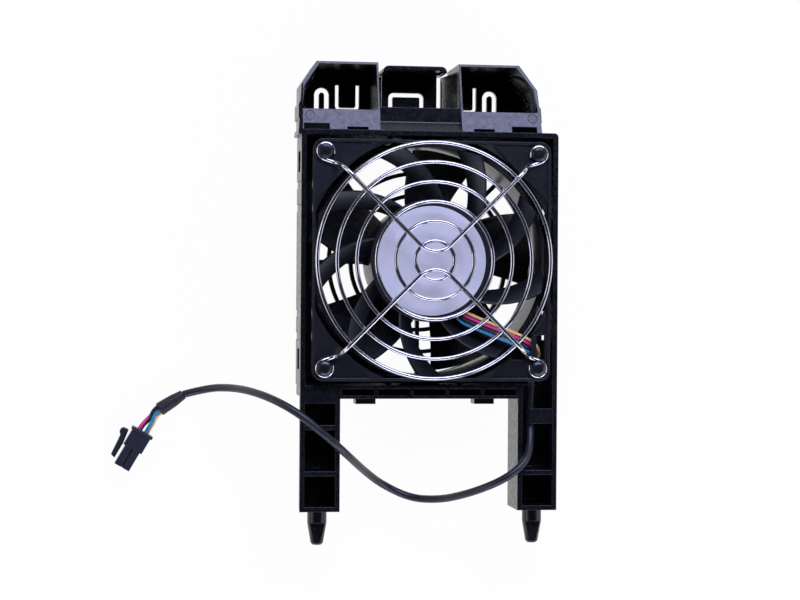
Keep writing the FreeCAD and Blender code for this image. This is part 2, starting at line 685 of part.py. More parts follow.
def build_carrier():
    """The moulded carrier: fan bay, rear grille, legs with pegs, cross beam and finger cups."""
    body = new_body("carrier")
    sketch = sketch_on(body)
    rectangle(sketch, -frame_half, -beam_bottom, frame_half, frame_half)
    pad(body, sketch, carrier_front)
    round_edges(body, s.frame_corner, upright_at(frame_half, frame_half))

    # Finger cups with cut outer corners
    cups = ((-handle_left, -bay_left, -1), (handle_right, bay_right, 1))
    knee = handle_top - s.cup_bevel_y
    sketch = sketch_on(body)
    for outer, inner, side in cups:
        shoulder = outer - s.cup_bevel_x * side
        waist = outer - s.cup_taper * side
        low = frame_half - s.side_wall
        polygon(sketch, [(outer, low), (inner, low), (inner, handle_top),
                         (shoulder, handle_top), (waist, knee)])
    pad(body, sketch, carrier_front)

    # Legs
    sketch = sketch_on(body, at=carrier_front)
    for side in (-1, 1):
        rectangle(sketch, leg_inner * side, -leg_bottom, frame_half * side, -bay_half - s.beam_wall)
    pad(body, sketch, s.leg_depth, down=True)

    # Fan bay, closer to the fan in its rear half, where the side walls are stepped in
    sketch = sketch_on(body, at=carrier_front)
    rectangle(sketch, -bay_half, -bay_half, bay_half, bay_half)
    pocket(body, sketch, s.leg_depth - s.side_wall)
    sketch = sketch_on(body, at=carrier_front)
    rectangle(sketch, -rear_half, -bay_half, rear_half, bay_half)
    pocket(body, sketch, carrier_front - fan_back)
    sketch = sketch_on(body, at=band_back)
    for side in (-1, 1):
        rectangle(sketch, (rear_half + s.side_wall) * side, -beam_bottom - s.side_wall,
                  (frame_half + s.side_wall) * side, frame_half)
    pocket(body, sketch, band_back)

    # Outer faces of the cups drawn in towards the rear, with a guide ramp left standing on each
    sketch = sketch_on(body, "XZ_Plane", at=-frame_half)
    for outer, inner, side in cups:
        beyond = outer + s.cup_wall * side
        polygon(sketch, [(outer, carrier_front), (outer - s.cup_draft * side, 0), (beyond, 0),
                         (beyond, carrier_front)])
    pocket(body, sketch, s.handle_rise + s.cup_wall)
    guide_back = band_back + s.side_wall
    sketch = sketch_on(body, at=guide_back)
    for outer, inner, side in cups:
        root = outer - s.guide_root * side
        low = frame_half + s.guide_low
        high = low + s.guide_length
        polygon(sketch, [(outer, low), (root, low), (root, high), (outer, high - s.guide_ramp)])
    pad(body, sketch, carrier_front - guide_back)

    # Hollow of the cups behind their lips, then the finger openings above the lips
    lip_lean = s.handle_lean * s.lip_rise / (s.handle_rise + s.cup_wall)
    lip_back = carrier_front - s.lip_wall - lip_lean
    lip_top = frame_half + s.lip_rise
    hollows = ((lip_back, lip_back - s.cup_wall, frame_half),
               (carrier_front, carrier_front - lip_back, lip_top))
    for at, depth, foot in hollows:
        sketch = sketch_on(body, at=at)
        for outer, inner, side in cups:
            left = outer - s.cup_wall * side
            right = inner + s.cup_side * side
            shoulder = left - s.cup_bevel_x * side
            waist = left - s.cup_taper * side
            top = handle_top - s.cup_wall
            polygon(sketch, [(left, foot), (right, foot), (right, top), (shoulder, top), (waist, knee)])
        hollow = pocket(body, sketch, depth)
        if foot is frame_half:
            hollow.setExpression("TaperAngle", f"-atan({s.cup_draft.text} / {carrier_front.text})")

    # Front of the cups leaning back towards the top
    sketch = sketch_on(body, "YZ_Plane", at=handle_left + s.cup_wall)
    beyond = handle_top + s.cup_wall
    polygon(sketch, [(frame_half, carrier_front), (beyond, carrier_front - s.handle_lean),
                     (beyond, carrier_front + s.cup_wall), (frame_half, carrier_front + s.cup_wall)])
    pocket(body, sketch, s.handle_width + s.cup_wall * 4)

    # Lip between the cups, with a sloping ledge
    sketch = sketch_on(body, "YZ_Plane", at=bay_right + s.seat_gap)
    lip_front = carrier_front - s.bay_lip_setback
    root = frame_half - s.seat_gap
    polygon(sketch, [(root, carrier_front), (root, lip_front - s.lip_wall), (lip_top, lip_front - s.lip_wall),
                     (lip_top, lip_front), (root + s.bay_lip_setback, lip_front)])
    pad(body, sketch, s.bay_width + s.seat_gap * 2, down=True)

    # Notches and slits along the foot of the cup lips
    cuts = ((s.lip_notch_place, s.lip_notch_width, s.lip_notch_rise, carrier_front - lip_back),
            (s.lip_slit_place, s.lip_slit_width, s.lip_slit_height, s.lip_wall))
    for place_on, width, rise, depth in cuts:
        sketch = sketch_on(body, at=carrier_front)
        for side in (-1, 1):
            middle = place_on * side - s.handle_shift
            rectangle(sketch, middle - width / 2, frame_half, middle + width / 2, frame_half + rise)
        pocket(body, sketch, depth)

    # Rear rails beside the release tab
    sketch = sketch_on(body)
    rail_top = handle_top - s.tab_cap_height - s.cup_wall
    for outer, inner, side in cups:
        rectangle(sketch, inner - s.bay_rail * side, frame_half - s.seat_gap,
                  inner + s.cup_side / 2 * side, rail_top)
    pad(body, sketch, s.tab_thick)

    # Rear wall slots that free the cups' tongues
    sketch = sketch_on(body, at=s.cup_wall)
    for side in (-1, 1):
        arch(sketch, s.tongue_slot_place * side - s.slot_shift, lip_top,
             frame_half + s.tongue_slot_rise, s.tongue_slot_outer, s.slot_bar)
        bent_slot(sketch, s.catch_slot_place * side - s.slot_shift, frame_half + s.catch_slot_top,
                  frame_half + s.catch_slot_bottom, s.catch_slot_outer, s.catch_bar, upright=False)
    pocket(body, sketch, s.cup_wall)

    # Hollow cells of the legs, the right one open to the fan bay
    low_rib = beam_bottom + s.leg_rib_low
    high_rib = beam_bottom + s.leg_rib_high
    half_wall = s.leg_wall / 2
    foot_cell = (leg_bottom - s.leg_wall, low_rib + half_wall)
    left_cells = (foot_cell, (low_rib - half_wall, high_rib + half_wall),
                  (high_rib - half_wall, beam_bottom + s.leg_wall))
    right_cells = (foot_cell, (low_rib - half_wall, bay_half - s.seat_gap))
    sketch = sketch_on(body, at=carrier_front)
    for side, cells in ((-1, left_cells), (1, right_cells)):
        for low, high in cells:
            inner = (leg_inner + s.leg_wall) * side
            rectangle(sketch, inner, -low, (frame_half - s.leg_wall) * side, -high)
    pocket(body, sketch, s.leg_depth - s.leg_wall)

    # Cells along the cross beam
    pitch = leg_inner * 2 / s.beam_cells
    sketch = sketch_on(body, at=carrier_front)
    for k in range(round(s.beam_cells.value)):
        left = pitch * k - leg_inner + s.beam_wall / 2
        right = left + pitch - s.beam_wall
        rectangle(sketch, left, s.beam_wall - beam_bottom, right, -bay_half - s.beam_wall)
    pocket(body, sketch, s.beam_cell_depth)

    # Small feet under the beam
    sketch = sketch_on(body, at=s.foot_rise)
    for side in (-1, 1):
        middle = s.foot_place * side
        rectangle(sketch, middle - s.foot_width / 2, -beam_bottom - s.foot_drop,
                  middle + s.foot_width / 2, s.beam_wall - beam_bottom)
    pad(body, sketch, s.foot_depth)

    # Locating pegs: round shanks, tapered points with a flat in front
    sketch = sketch_on(body, at=peg_z, x=peg_x)
    shoulder = -leg_bottom - s.peg_straight
    polygon(sketch, [(0, half_wall - leg_bottom), (s.peg_root / 2, half_wall - leg_bottom),
                     (s.peg_root / 2, shoulder), (s.peg_point / 2, s.peg_chamfer - peg_tip),
                     (s.peg_point / 2 - s.peg_chamfer, -peg_tip), (0, -peg_tip)])
    mirror(body, spin(body, sketch))
    sketch = sketch_on(body, at=peg_z + s.peg_root)
    for side in (-1, 1):
        rectangle(sketch, peg_x * side - s.peg_root, shoulder,
                  peg_x * side + s.peg_root, -peg_tip - s.peg_chamfer)
    pocket(body, sketch, s.peg_root - s.peg_flat)

    # Bar that holds the cable in the right leg
    sketch = sketch_on(body, at=carrier_front - s.cable_clip_sink)
    clip_middle = -beam_bottom - s.cable_clip_drop
    clip_root = frame_half - s.leg_wall
    rectangle(sketch, clip_root - s.cable_clip_reach, clip_middle - s.cable_clip_height / 2,
              clip_root + s.seat_gap, clip_middle + s.cable_clip_height / 2)
    pad(body, sketch, s.cable_clip_thick, down=True)

    # Locating ribs on the bay walls
    sketch = sketch_on(body, at=fan_back - s.seat_gap)
    face = fan_half + s.rib_clear
    wall = bay_half + s.seat_gap
    for side in (-1, 1):
        for place_on in (-1, 1):
            middle = s.rib_place * place_on
            rectangle(sketch, face * side, middle - s.rib_thick / 2, wall * side, middle + s.rib_thick / 2)
            rectangle(sketch, middle - s.rib_thick / 2, face * side, middle + s.rib_thick / 2, wall * side)
    pad(body, sketch, s.fan_depth / 2)

    # Snap nibs over the fan's rear flange
    nib_place = fan_half - s.nib_inset
    sketch = sketch_on(body, at=fan_back + s.flange + s.rib_clear)
    for side in (-1, 1):
        for place_on in (-1, 1):
            middle = nib_place * place_on
            rectangle(sketch, (fan_half - s.nib_hold) * side, middle - s.nib_length / 2,
                      wall * side, middle + s.nib_length / 2)
    pad(body, sketch, s.nib_rise)

    # Side windows, and the slots that free two snap fingers on each side wall
    sketch = sketch_on(body, "YZ_Plane", at=frame_half + s.side_wall)
    window = band_back + s.window_rise
    slot_pitch = (s.finger_width + s.finger_slot) / 2
    for side in (-1, 1):
        middle = nib_place * side
        rectangle(sketch, middle - s.nib_length / 2, window,
                  middle + s.nib_length / 2, window + s.window_height)
        for edge in (-1, 1):
            middle = s.finger_place * side + slot_pitch * edge
            rectangle(sketch, middle - s.finger_slot / 2, band_back - s.side_wall / 2,
                      middle + s.finger_slot / 2, carrier_front - s.finger_root)
    pocket(body, sketch, frame_half * 2 + s.side_wall * 2)

    # Rear grille: ring openings, then spokes across them
    sketch = sketch_on(body, at=fan_back)
    half_bar = s.grille_bar / 2
    grille_bore = duct_radius + s.grille_over
    outside = grille_bore
    for k in (1, 2, 3):
        ring = grille_bore - s.grille_pitch * k
        circle(sketch, 0, 0, outside)
        circle(sketch, 0, 0, ring + half_bar)
        outside = ring - half_bar
    pocket(body, sketch, s.rear_wall)
    sketch = sketch_on(body)
    rectangle(sketch, ring, -half_bar, grille_bore + s.grille_bar, half_bar)
    around(body, pad(body, sketch, s.rear_wall), sketch, s.grille_spokes)
    return body


def build_release_tab():
    """The springy tab between the cups that lets the module go."""
    body = new_body("release_tab", x=-s.handle_shift)
    root = frame_half + s.tab_root_gap
    sketch = sketch_on(body)
    rectangle(sketch, -s.tab_width / 2, root, s.tab_width / 2, handle_top)
    pad(body, sketch, s.tab_thick)
    sketch = sketch_on(body)
    rectangle(sketch, -s.tab_cap_width / 2, handle_top - s.tab_cap_height, s.tab_cap_width / 2, handle_top)
    pad(body, sketch, s.tab_cap_depth)
    left = upright_at(-s.tab_cap_width / 2, handle_top)
    right = upright_at(s.tab_cap_width / 2, handle_top)
    round_edges(body, s.tab_corner, lambda edge: left(edge) or right(edge))
    sketch = sketch_on(body, at=s.tab_thick)
    bent_slot(sketch, s.handle_shift - s.slot_shift, frame_half + s.lip_rise, frame_half + s.tab_slot_top,
              s.tab_slot_outer, s.tab_slot_bar)
    pocket(body, sketch, s.tab_thick)
    return body


def build_flare(name, low, narrow_at_low):
    """The corner opening of the duct at one flange, to cut away."""
    wide = flare_reach + s.flare_depth / 2
    cone = place(doc.addObject("Part::Cone", name + "_cone"), z=low)
    bind(cone, "Radius1", duct_radius if narrow_at_low else wide)
    bind(cone, "Radius2", wide if narrow_at_low else duct_radius)
    bind(cone, "Height", s.flare_depth)
    limits = [cone]
    for half, angle in ((fan_half - s.rim_width, 0), (flare_reach, 45)):
        body = new_body(name + "_limit", z=low, angle=angle)
        sketch = sketch_on(body)
        rectangle(sketch, -half, -half, half, half)
        pad(body, sketch, s.flare_depth)
        limits.append(body)
    return join(name, "Part::MultiCommon", Shapes=limits)


def build_vane(k):
    angle = s.vane_angle.value + 360 / s.vane_count.value * k
    inner = s.hub_radius.value - s.hub_skirt.value / 2
    outer = duct_radius.value + s.duct_wall.value / 2
    front = fan_front.value - s.vane_recess.value

    def point(u, v):
        radius = inner + (outer - inner) * v
        turn = angle + s.vane_sweep.value * v + s.vane_lean.value * u
        return on_circle(radius, turn, front - s.vane_depth.value * u)

    return feature("vane", thick_sheet(point, s.vane_thick.value, rows=4, columns=6))


def build_fan_frame():
    """The fan's square frame with its duct, stator vanes and motor base."""
    body = new_body("frame_shell")
    sketch = sketch_on(body, at=fan_back)
    rectangle(sketch, -fan_half, -fan_half, fan_half, fan_half)
    pad(body, sketch, s.fan_depth)
    upright = s.fan_depth.value / 2
    round_edges(body, s.fan_corner, lambda edge: abs(edge.tangentAt(edge.FirstParameter).z) > 0.9
                and edge.Length > upright)
    # Waist between the flanges
    sketch = sketch_on(body, at=fan_front - s.flange)
    beyond = fan_half + s.rim_width
    rectangle(sketch, -beyond, -beyond, beyond, beyond)
    circle(sketch, 0, 0, duct_radius + s.duct_wall)
    pocket(body, sketch, s.fan_depth - s.flange * 2)
    # Duct and corner holes
    sketch = sketch_on(body, at=fan_front)
    circle(sketch, 0, 0, duct_radius)
    for x in (-1, 1):
        for y in (-1, 1):
            circle(sketch, hole_place * x, hole_place * y, s.hole_bore / 2)
    pocket(body, sketch, s.fan_depth)
    # Recess inside the raised rim
    sketch = sketch_on(body, at=fan_front)
    far = fan_half - s.rim_width
    near = far - s.rim_corner
    polygon(sketch, [(far, near), (near, far), (-near, far), (-far, near),
                     (-far, -near), (-near, -far), (near, -far), (far, -near)])
    pocket(body, sketch, s.rim_rise)
    # Slot that lets the leads through the front flange
    sketch = sketch_on(body, at=fan_front)
    slot_high = s.slot_end_far - fan_half
    slot_low = s.slot_end_near - fan_half
    rectangle(sketch, fan_half - s.slot_side_far, slot_low, fan_half - s.slot_side_near, slot_high)
    pocket(body, sketch, s.flange)
    sketch = sketch_on(body, at=plate_front - s.rib_clear)
    bar = fan_half - s.lead_bar_place
    rectangle(sketch, bar - s.lead_bar_width / 2, slot_low - s.seat_gap,
              bar + s.lead_bar_width / 2, slot_high + s.seat_gap)
    pad(body, sketch, s.lead_bar_thick, down=True)

    flares = [build_flare("front_flare", fan_front - s.flare_depth, True),
              build_flare("rear_flare", fan_back, False)]
    both = join("flares", "Part::MultiFuse", Shapes=flares)
    shell = join("flared_shell", "Part::Cut", Base=body, Tool=both)

    base_seat = tube_outer + s.seat_gap
    skirt = s.hub_radius - s.hub_skirt
    rib = s.board_radius - s.boss_wall
    base = turned("motor_base", [
        (tube_inner, hub_inside), (tube_inner, hub_front), (s.hub_radius, hub_front),
        (s.hub_radius, hub_rear), (skirt, hub_rear), (skirt, hub_inside),
        (s.board_radius, hub_inside), (s.board_radius, board_front),
        (rib, board_front), (rib, hub_inside), (base_seat + s.boss_wall, hub_inside),
        (base_seat + s.boss_wall, hub_rear), (base_seat, hub_rear), (base_seat, hub_inside)])
    notch = new_body("lead_notch", angle=s.lead_angle)
    sketch = sketch_on(notch, at=board_front)
    rectangle(sketch, rib - s.boss_wall, s.lead_notch / -2, s.hub_radius + s.hub_skirt, s.lead_notch / 2)
    pad(notch, sketch, hub_inside - board_front)
    base = join("notched_base", "Part::Cut", Base=base, Tool=notch)
    vanes = [build_vane(k) for k in range(round(s.vane_count.value))]
    return join("fan_frame", "Part::MultiFuse", Shapes=[shell, base] + vanes)


def build_blade(k):
    angle = s.blade_angle.value + 360 / s.blade_count.value * k
    inner = s.rotor_radius.value - s.rotor_wall.value / 2
    outer = duct_radius.value - s.tip_gap.value
    middle = (rotor_back.value + rotor_front.value) / 2

    def point(u, v):
        wrap = s.blade_wrap_hub.value + (s.blade_wrap_tip.value - s.blade_wrap_hub.value) * v
        turn = angle + s.blade_sweep.value * v + wrap * (u - 0.5)
        return on_circle(inner + (outer - inner) * v, turn, middle + s.blade_chord.value * (u - 0.5))

    return feature("blade", thick_sheet(point, s.blade_thick.value))


def build_impeller():
    inside = s.rotor_radius - s.rotor_wall
    floor = rotor_back + s.rotor_wall
    hub = turned("impeller_hub", [
        (s.shaft_radius, rotor_back + s.rotor_wall / 2), (0, rotor_back + s.rotor_wall / 2), (0, rotor_back),
        (s.rotor_radius, rotor_back), (s.rotor_radius, rotor_front), (inside, rotor_front), (inside, floor),
        (shaft_boss, floor), (shaft_boss, boss_front), (s.shaft_radius, boss_front)])
    rim = s.rotor_radius.value
    round_edges(hub, s.rotor_round, lambda edge: hasattr(edge.Curve, "Radius")
                and abs(edge.Curve.Radius - rim) < 0.01 and abs(edge.BoundBox.ZMax - rotor_back.value) < 0.01)
    blades = [build_blade(k) for k in range(round(s.blade_count.value))]
    return join("impeller", "Part::MultiFuse", Shapes=[hub] + blades)


def build_motor():
    """Rotor yoke, magnet, shaft, bearings, stator and circuit board."""
    plate = rotor_back + s.rotor_wall + s.seat_gap
    yoke_front = rotor_front - s.yoke_wall
    bell = yoke_radius - s.yoke_wall
    boss_hole = shaft_boss + s.seat_gap
    yoke = turned("rotor_yoke", [
        (boss_hole, plate), (yoke_radius, plate), (yoke_radius, yoke_front), (bell, yoke_front),
        (bell, plate + s.yoke_wall), (boss_hole, plate + s.yoke_wall)])
    half_magnet = s.magnet_height / 2
    magnet = turned("rotor_magnet", ring_profile(magnet_radius - s.magnet_wall, magnet_radius,
                                                 stack_middle - half_magnet, stack_middle + half_magnet))

    # Shaft with its clip groove
    rear_bearing = tube_rear + s.clip_thick
    front_bearing = hub_inside - s.clip_thick * 2 - s.bearing_width
    groove = front_bearing + s.bearing_width + s.seat_gap
    neck = s.shaft_radius - s.clip_thick / 2
    shaft_end = groove + s.clip_thick * 3
    shaft = turned("shaft", [
        (0, rotor_back + s.rotor_wall / 2 + s.seat_gap),
        (s.shaft_radius - s.shaft_fit, rotor_back + s.rotor_wall / 2 + s.seat_gap),
        (s.shaft_radius - s.shaft_fit, groove), (neck, groove), (neck, groove + s.clip_thick + s.seat_gap),
        (s.shaft_radius - s.shaft_fit, groove + s.clip_thick + s.seat_gap),
        (s.shaft_radius - s.shaft_fit, shaft_end), (0, shaft_end)])
    clip = new_body("shaft_clip")
    sketch = sketch_on(clip, at=groove + s.shaft_fit)
    circle(sketch, 0, 0, s.shaft_radius + s.clip_thick * 2)
    circle(sketch, 0, 0, neck + s.shaft_fit)
    pad(clip, sketch, s.clip_thick)
    sketch = sketch_on(clip, at=groove + s.shaft_fit + s.clip_thick)
    rectangle(sketch, 0, -neck, s.shaft_radius * 2, neck)
    pocket(clip, sketch, s.clip_thick)
    spacer = turned("shaft_spacer", ring_profile(s.shaft_radius + s.shaft_fit, s.shaft_radius + s.race_wall,
                                                 boss_front + s.shaft_fit, rear_bearing - s.shaft_fit))

    # Ball bearings
    inner_race = s.shaft_radius + s.race_wall
    outer_race = s.bearing_radius - s.race_wall
    ball_radius = (outer_race - inner_race) / 2 - s.ball_fit
    ball_path = (outer_race + inner_race) / 2
    inner_rings = []
    outer_rings = []
    balls = []
    for low in (rear_bearing, front_bearing):
        high = low + s.bearing_width
        inner_rings.append(turned("inner_ring", ring_profile(s.shaft_radius, inner_race, low, high)))
        outer_rings.append(turned("outer_ring", ring_profile(outer_race, s.bearing_radius, low, high)))
        for k in range(round(s.ball_count.value)):
            ball = doc.addObject("Part::Sphere", "ball")
            bind(ball, "Radius", ball_radius)
            spot = on_circle(ball_path.value, 360 / s.ball_count.value * k, 0)
            balls.append(place(ball, x=spot.x, y=spot.y, z=low + s.bearing_width / 2))
    tube_front = hub_inside - s.shaft_fit
    tube_body = turned("bearing_tube", ring_profile(tube_inner, tube_outer, tube_rear, tube_front))

    # Stator core: a ring, its teeth and their wide tips, cut to the air gap
    bore = tube_outer + s.seat_gap
    ring = bore + s.core_ring
    half_stack = s.stack_height / 2
    core = new_body("stator_core")
    sketch = sketch_on(core, at=stack_middle - half_stack)
    circle(sketch, 0, 0, ring)
    circle(sketch, 0, 0, bore)
    pad(core, sketch, s.stack_height)
    sketch = sketch_on(core, at=stack_middle - half_stack)
    half_tooth = s.tooth_width / 2
    tip_low = tooth_radius - s.tooth_tip
    # The tip's edge follows the air gap on both sides of the tooth
    reach = math.pi / s.tooth_count.value - math.radians(s.tooth_opening.value) / 2
    edge = [(tip_low * math.cos(reach), tip_low * math.sin(reach))]
    for turn in (reach, reach * 2 / 3, reach / 3):
        edge.append((tooth_radius * math.cos(turn), tooth_radius * math.sin(turn)))
    side = [(ring - half_tooth, half_tooth), (tip_low - half_tooth, half_tooth)] + edge
    polygon(sketch, side + [(tooth_radius, 0)] + [(x, -y) for x, y in reversed(side)])
    around(core, pad(core, sketch, s.stack_height), sketch, s.tooth_count)

    # One winding round each tooth
    windings = []
    grow = s.coil_wall + s.coil_gap
    for k in range(round(s.tooth_count.value)):
        coil = new_body("winding", angle=360 / s.tooth_count.value * k)
        sketch = sketch_on(coil, "YZ_Plane", at=ring + s.coil_gap * 2)
        rectangle(sketch, -half_tooth - grow, stack_middle - half_stack - grow,
                  half_tooth + grow, stack_middle + half_stack + grow)
        rectangle(sketch, -half_tooth - s.coil_gap, stack_middle - half_stack - s.coil_gap,
                  half_tooth + s.coil_gap, stack_middle + half_stack + s.coil_gap)
        pad(coil, sketch, tip_low - half_tooth - ring - s.coil_gap * 4)
        windings.append(coil)

    # Circuit board on the motor base's rib
    board_bore = tube_outer + s.seat_gap * 2 + s.boss_wall
    board = turned("circuit_board", ring_profile(board_bore, s.board_radius, board_rear - s.shaft_fit,
                                                 board_front - s.shaft_fit))
    label = turned("hub_label", [(0, hub_front), (s.label_radius, hub_front),
                                 (s.label_radius, hub_front + s.label_thick), (0, hub_front + s.label_thick)])
    return [yoke, magnet, shaft, clip, spacer, group("bearing_inner_rings", inner_rings),
            group("bearing_outer_rings", outer_rings), group("bearing_balls", balls), tube_body, core,
            group("stator_windings", windings), board, label]


# Rivet head outline, in shares of its radius and its height
RIVET_DOME = ((0, 1), (0.6, 0.9), (0.9, 0.5), (1, 0.2), (1, 0))


def build_guard():
    """The wire finger guard: rings, two bent spoke wires with corner loops, and four rivets."""
    ring_height = fan_front + s.guard_stand
    rings = []
    for k in range(round(s.ring_count.value)):
        ring = place(doc.addObject("Part::Torus", "ring"), z=ring_height)
        bind(ring, "Radius1", ring_outer - ring_outer / s.ring_count * k)
        bind(ring, "Radius2", s.ring_wire / 2)
        rings.append(ring)

    wire_radius = s.spoke_wire.value / 2
    high = ring_height.value + s.ring_wire.value / 2 + wire_radius + s.seat_gap.value
    low = plate_front.value + wire_radius
    hole = hole_place.value * math.sqrt(2)
    loop = s.loop_radius.value / math.cos(math.pi / 8)
    outer = ring_outer.value + s.spoke_reach.value
    half = [V(outer, 0, high), V(outer + s.spoke_step.value, 0, low)]
    # The loop runs round an octagon, from the side of the spoke and back
    for k in range(7):
        half.append(V(hole, 0, low) + on_circle(loop, 247.5 + 45 * k, 0))
    # Each wire bends through a right angle above the hub, from one corner loop to the next
    turn = FreeCAD.Rotation(V(0, 0, 1), 90)
    other = [turn.multVec(V(p.x, -p.y, p.z)) for p in half]
    route = other[::-1] + [V(0, 0, high)] + half
    bar = tube(route, wire_radius, share=0.49, largest=s.spoke_bend.value)[0]
    spokes = [place(feature("spoke", bar), angle=angle) for angle in (45, 225)]

    seat = plate_front + s.spoke_wire + s.shaft_fit
    flange_back = fan_front - s.flange
    head = s.rivet_head / 2
    shank = s.rivet_shank / 2
    rivets = []
    for x in (-1, 1):
        for y in (-1, 1):
            dome = [(head * wide, seat + s.rivet_rise * high) for wide, high in RIVET_DOME]
            stem = [(shank, seat), (shank, flange_back - s.shaft_fit), (head, flange_back - s.shaft_fit),
                    (shank, flange_back - s.rivet_rise), (0, flange_back - s.rivet_rise)]
            rivets.append(turned("rivet", dome + stem, x=hole_place * x, y=hole_place * y))
    return [group("guard_rings", rings), group("guard_spokes", spokes), group("guard_rivets", rivets)]


# Leads, and the sideways and upward place of each where they gather over the sleeve's end
LEADS = {"yellow": (2.1, 1.2), "red": (0.8, -1.0), "black": (-0.8, -1.0), "blue": (-2.1, 1.2)}


def bundle(k):
    """Which side of the bundle a lead lies on, and whether it lies above or below."""
    return (1 if k < 2 else -1), (1 if k in (0, 3) else -1)


def build_leads():
    """The four leads from the circuit board to the sleeve, side by side until they gather."""
    start = cable_route()[0]
    front = hub_inside.value
    angle = s.lead_angle.value
    pitch = s.lead_pitch.value
    half_way = (s.hub_radius.value + duct_radius.value) / 2
    bend = V(fan_half.value - s.lead_turn_side.value, s.lead_turn_end.value - fan_half.value, front + pitch)
    flat = [on_circle(s.board_radius.value + pitch, angle, board_front.value + pitch),
            on_circle(s.hub_radius.value + pitch, angle, front - pitch),
            on_circle(half_way, angle + s.lead_drift.value, front + pitch / 2),
            bend + V(-s.lead_slope_side.value, s.lead_slope_end.value, 0), bend]
    near = s.lead_bundle.value
    leads = []
    for k, (name, (gather, lift)) in enumerate(LEADS.items()):
        points = []
        for i, spot in enumerate(flat):
            along = flat[min(i + 1, len(flat) - 1)] - flat[max(i - 1, 0)]
            across = V(-along.y, along.x, 0)
            across.normalize()
            points.append(spot + across * (((len(LEADS) - 1) / 2 - k) * pitch))
        side, rise = bundle(k)
        points.append(start + V(gather, s.lead_gather_back.value, s.lead_gather_rise.value + lift))
        points.append(start + V(side * near * 1.3, s.lead_enter_back.value, rise * near * 1.5))
        points.append(start + V(side * near, 0, rise * near))
        leads.append(feature(f"lead_{name}", tube(points, s.lead_wire.value / 2)[0]))
    return leads


def cable_route():
    return [V(fan_half.value + x, y - fan_half.value, z) for x, y, z in CORD_ROUTE]


def build_cable():
    """The cable sleeve, the shrink tube and the leads into the plug."""
    route = cable_route()
    sleeve, length, radii = tube(route, s.sleeve_wire.value / 2)
    print("cable sleeve", round(length, 1), "mm long, tightest bend", round(min(radii), 1), "mm")
    end = route[-1]
    along = on_circle(-1, s.shrink_angle.value, 0)
    shrink = Part.makeCylinder(s.shrink_radius.value, s.shrink_length.value, end, along)
    exit_point = end + along * s.shrink_length.value
    ahead = on_circle(1, s.plug_angle.value, 0)
    left = V(-ahead.y, ahead.x, 0)
    back = V(end.x - s.plug_left.value, end.y - s.plug_low.value, s.plug_height.value / 2)
    sideways = V(-along.y, along.x, 0)
    near = s.lead_bundle.value
    pieces = [feature("cable_sleeve", sleeve), feature("shrink_tube", shrink)]
    for k, name in enumerate(LEADS):
        side, rise = bundle(k)
        gather = V(0, 0, near * rise) - sideways * (near * side)
        spread = V(0, 0, s.plug_pitch.value / 2 * rise) - left * (s.plug_pitch.value / 2 * side)
        first = exit_point + gather
        last = back + spread + ahead * s.contact_seat.value
        reach = (last - first).Length * s.lead_straight.value
        points = [first, first + along * reach, last - ahead * (reach + s.contact_seat.value), last]
        pieces.append(feature(f"plug_lead_{name}", tube(points, s.lead_wire.value / 2)[0]))
    return pieces


def build_plug():
    """The four-way plug with its contacts and latch lever, lying on the floor."""
    where = dict(x=cable_end_x - s.plug_left, y=cable_end_y - s.plug_low,
                 z=s.plug_height / 2, angle=s.plug_angle)
    half_wide = s.plug_width / 2
    half_high = s.plug_height / 2
    half_nose = s.plug_nose_width / 2
    housing = new_body("plug_housing", **where)
    sketch = sketch_on(housing, "YZ_Plane")
    rectangle(sketch, -half_wide, -half_high, half_wide, half_high)
    pad(housing, sketch, s.plug_body)
    sketch = sketch_on(housing, "YZ_Plane", at=s.plug_body)
    rectangle(sketch, -half_nose, -half_nose, half_nose, half_nose)
    pad(housing, sketch, s.plug_nose)
    cells = [(s.plug_pitch / 2 * y, s.plug_pitch / 2 * z) for y in (-1, 1) for z in (-1, 1)]
    sketch = sketch_on(housing, "YZ_Plane", at=s.plug_body + s.plug_nose)
    half_cell = s.plug_cell / 2
    for y, z in cells:
        rectangle(sketch, y - half_cell, z - half_cell, y + half_cell, z + half_cell)
    pocket(housing, sketch, s.plug_body + s.plug_nose)

    # Spring contacts that fill their cells
    contacts = []
    half_contact = half_cell - s.contact_clear
    for y, z in cells:
        contact = new_body("contact", **where)
        sketch = sketch_on(contact, "YZ_Plane", at=s.contact_seat)
        rectangle(sketch, y - half_contact, z - half_contact, y + half_contact, z + half_contact)
        pad(contact, sketch, s.plug_body + s.plug_nose - s.contact_seat * 2)
        contacts.append(contact)

    # Latch lever with a thumb end, a hinge web and a hook
    lever = new_body("plug_latch", **where)
    sketch = sketch_on(lever, at=-s.latch_height / 2)
    near = half_wide + s.latch_gap
    far = near + s.latch_thick
    web = s.latch_rear + s.latch_hinge
    tip = s.latch_rear + s.latch_length
    hook = half_nose + s.latch_gap
    half_web = s.latch_thick / 2
    root = half_wide + s.tab_root_gap
    polygon(sketch, [
        (s.latch_rear, -far - s.latch_thick), (s.latch_rear + s.latch_thick, -far - s.latch_thick),
        (web, -far), (tip, -far), (tip, -hook), (tip - s.latch_thick, -near),
        (web + half_web, -near), (web + half_web, -root), (web - half_web, -root),
        (web - half_web, -near), (s.latch_rear, -far)])
    pad(lever, sketch, s.latch_height)
    return [housing, group("plug_contacts", contacts), lever]


nodes = [build_carrier(), build_release_tab(), build_fan_frame(), build_impeller()]
nodes += build_motor()
nodes += build_guard()
nodes += build_leads()
nodes += build_cable()
nodes += build_plug()
doc.recompute()

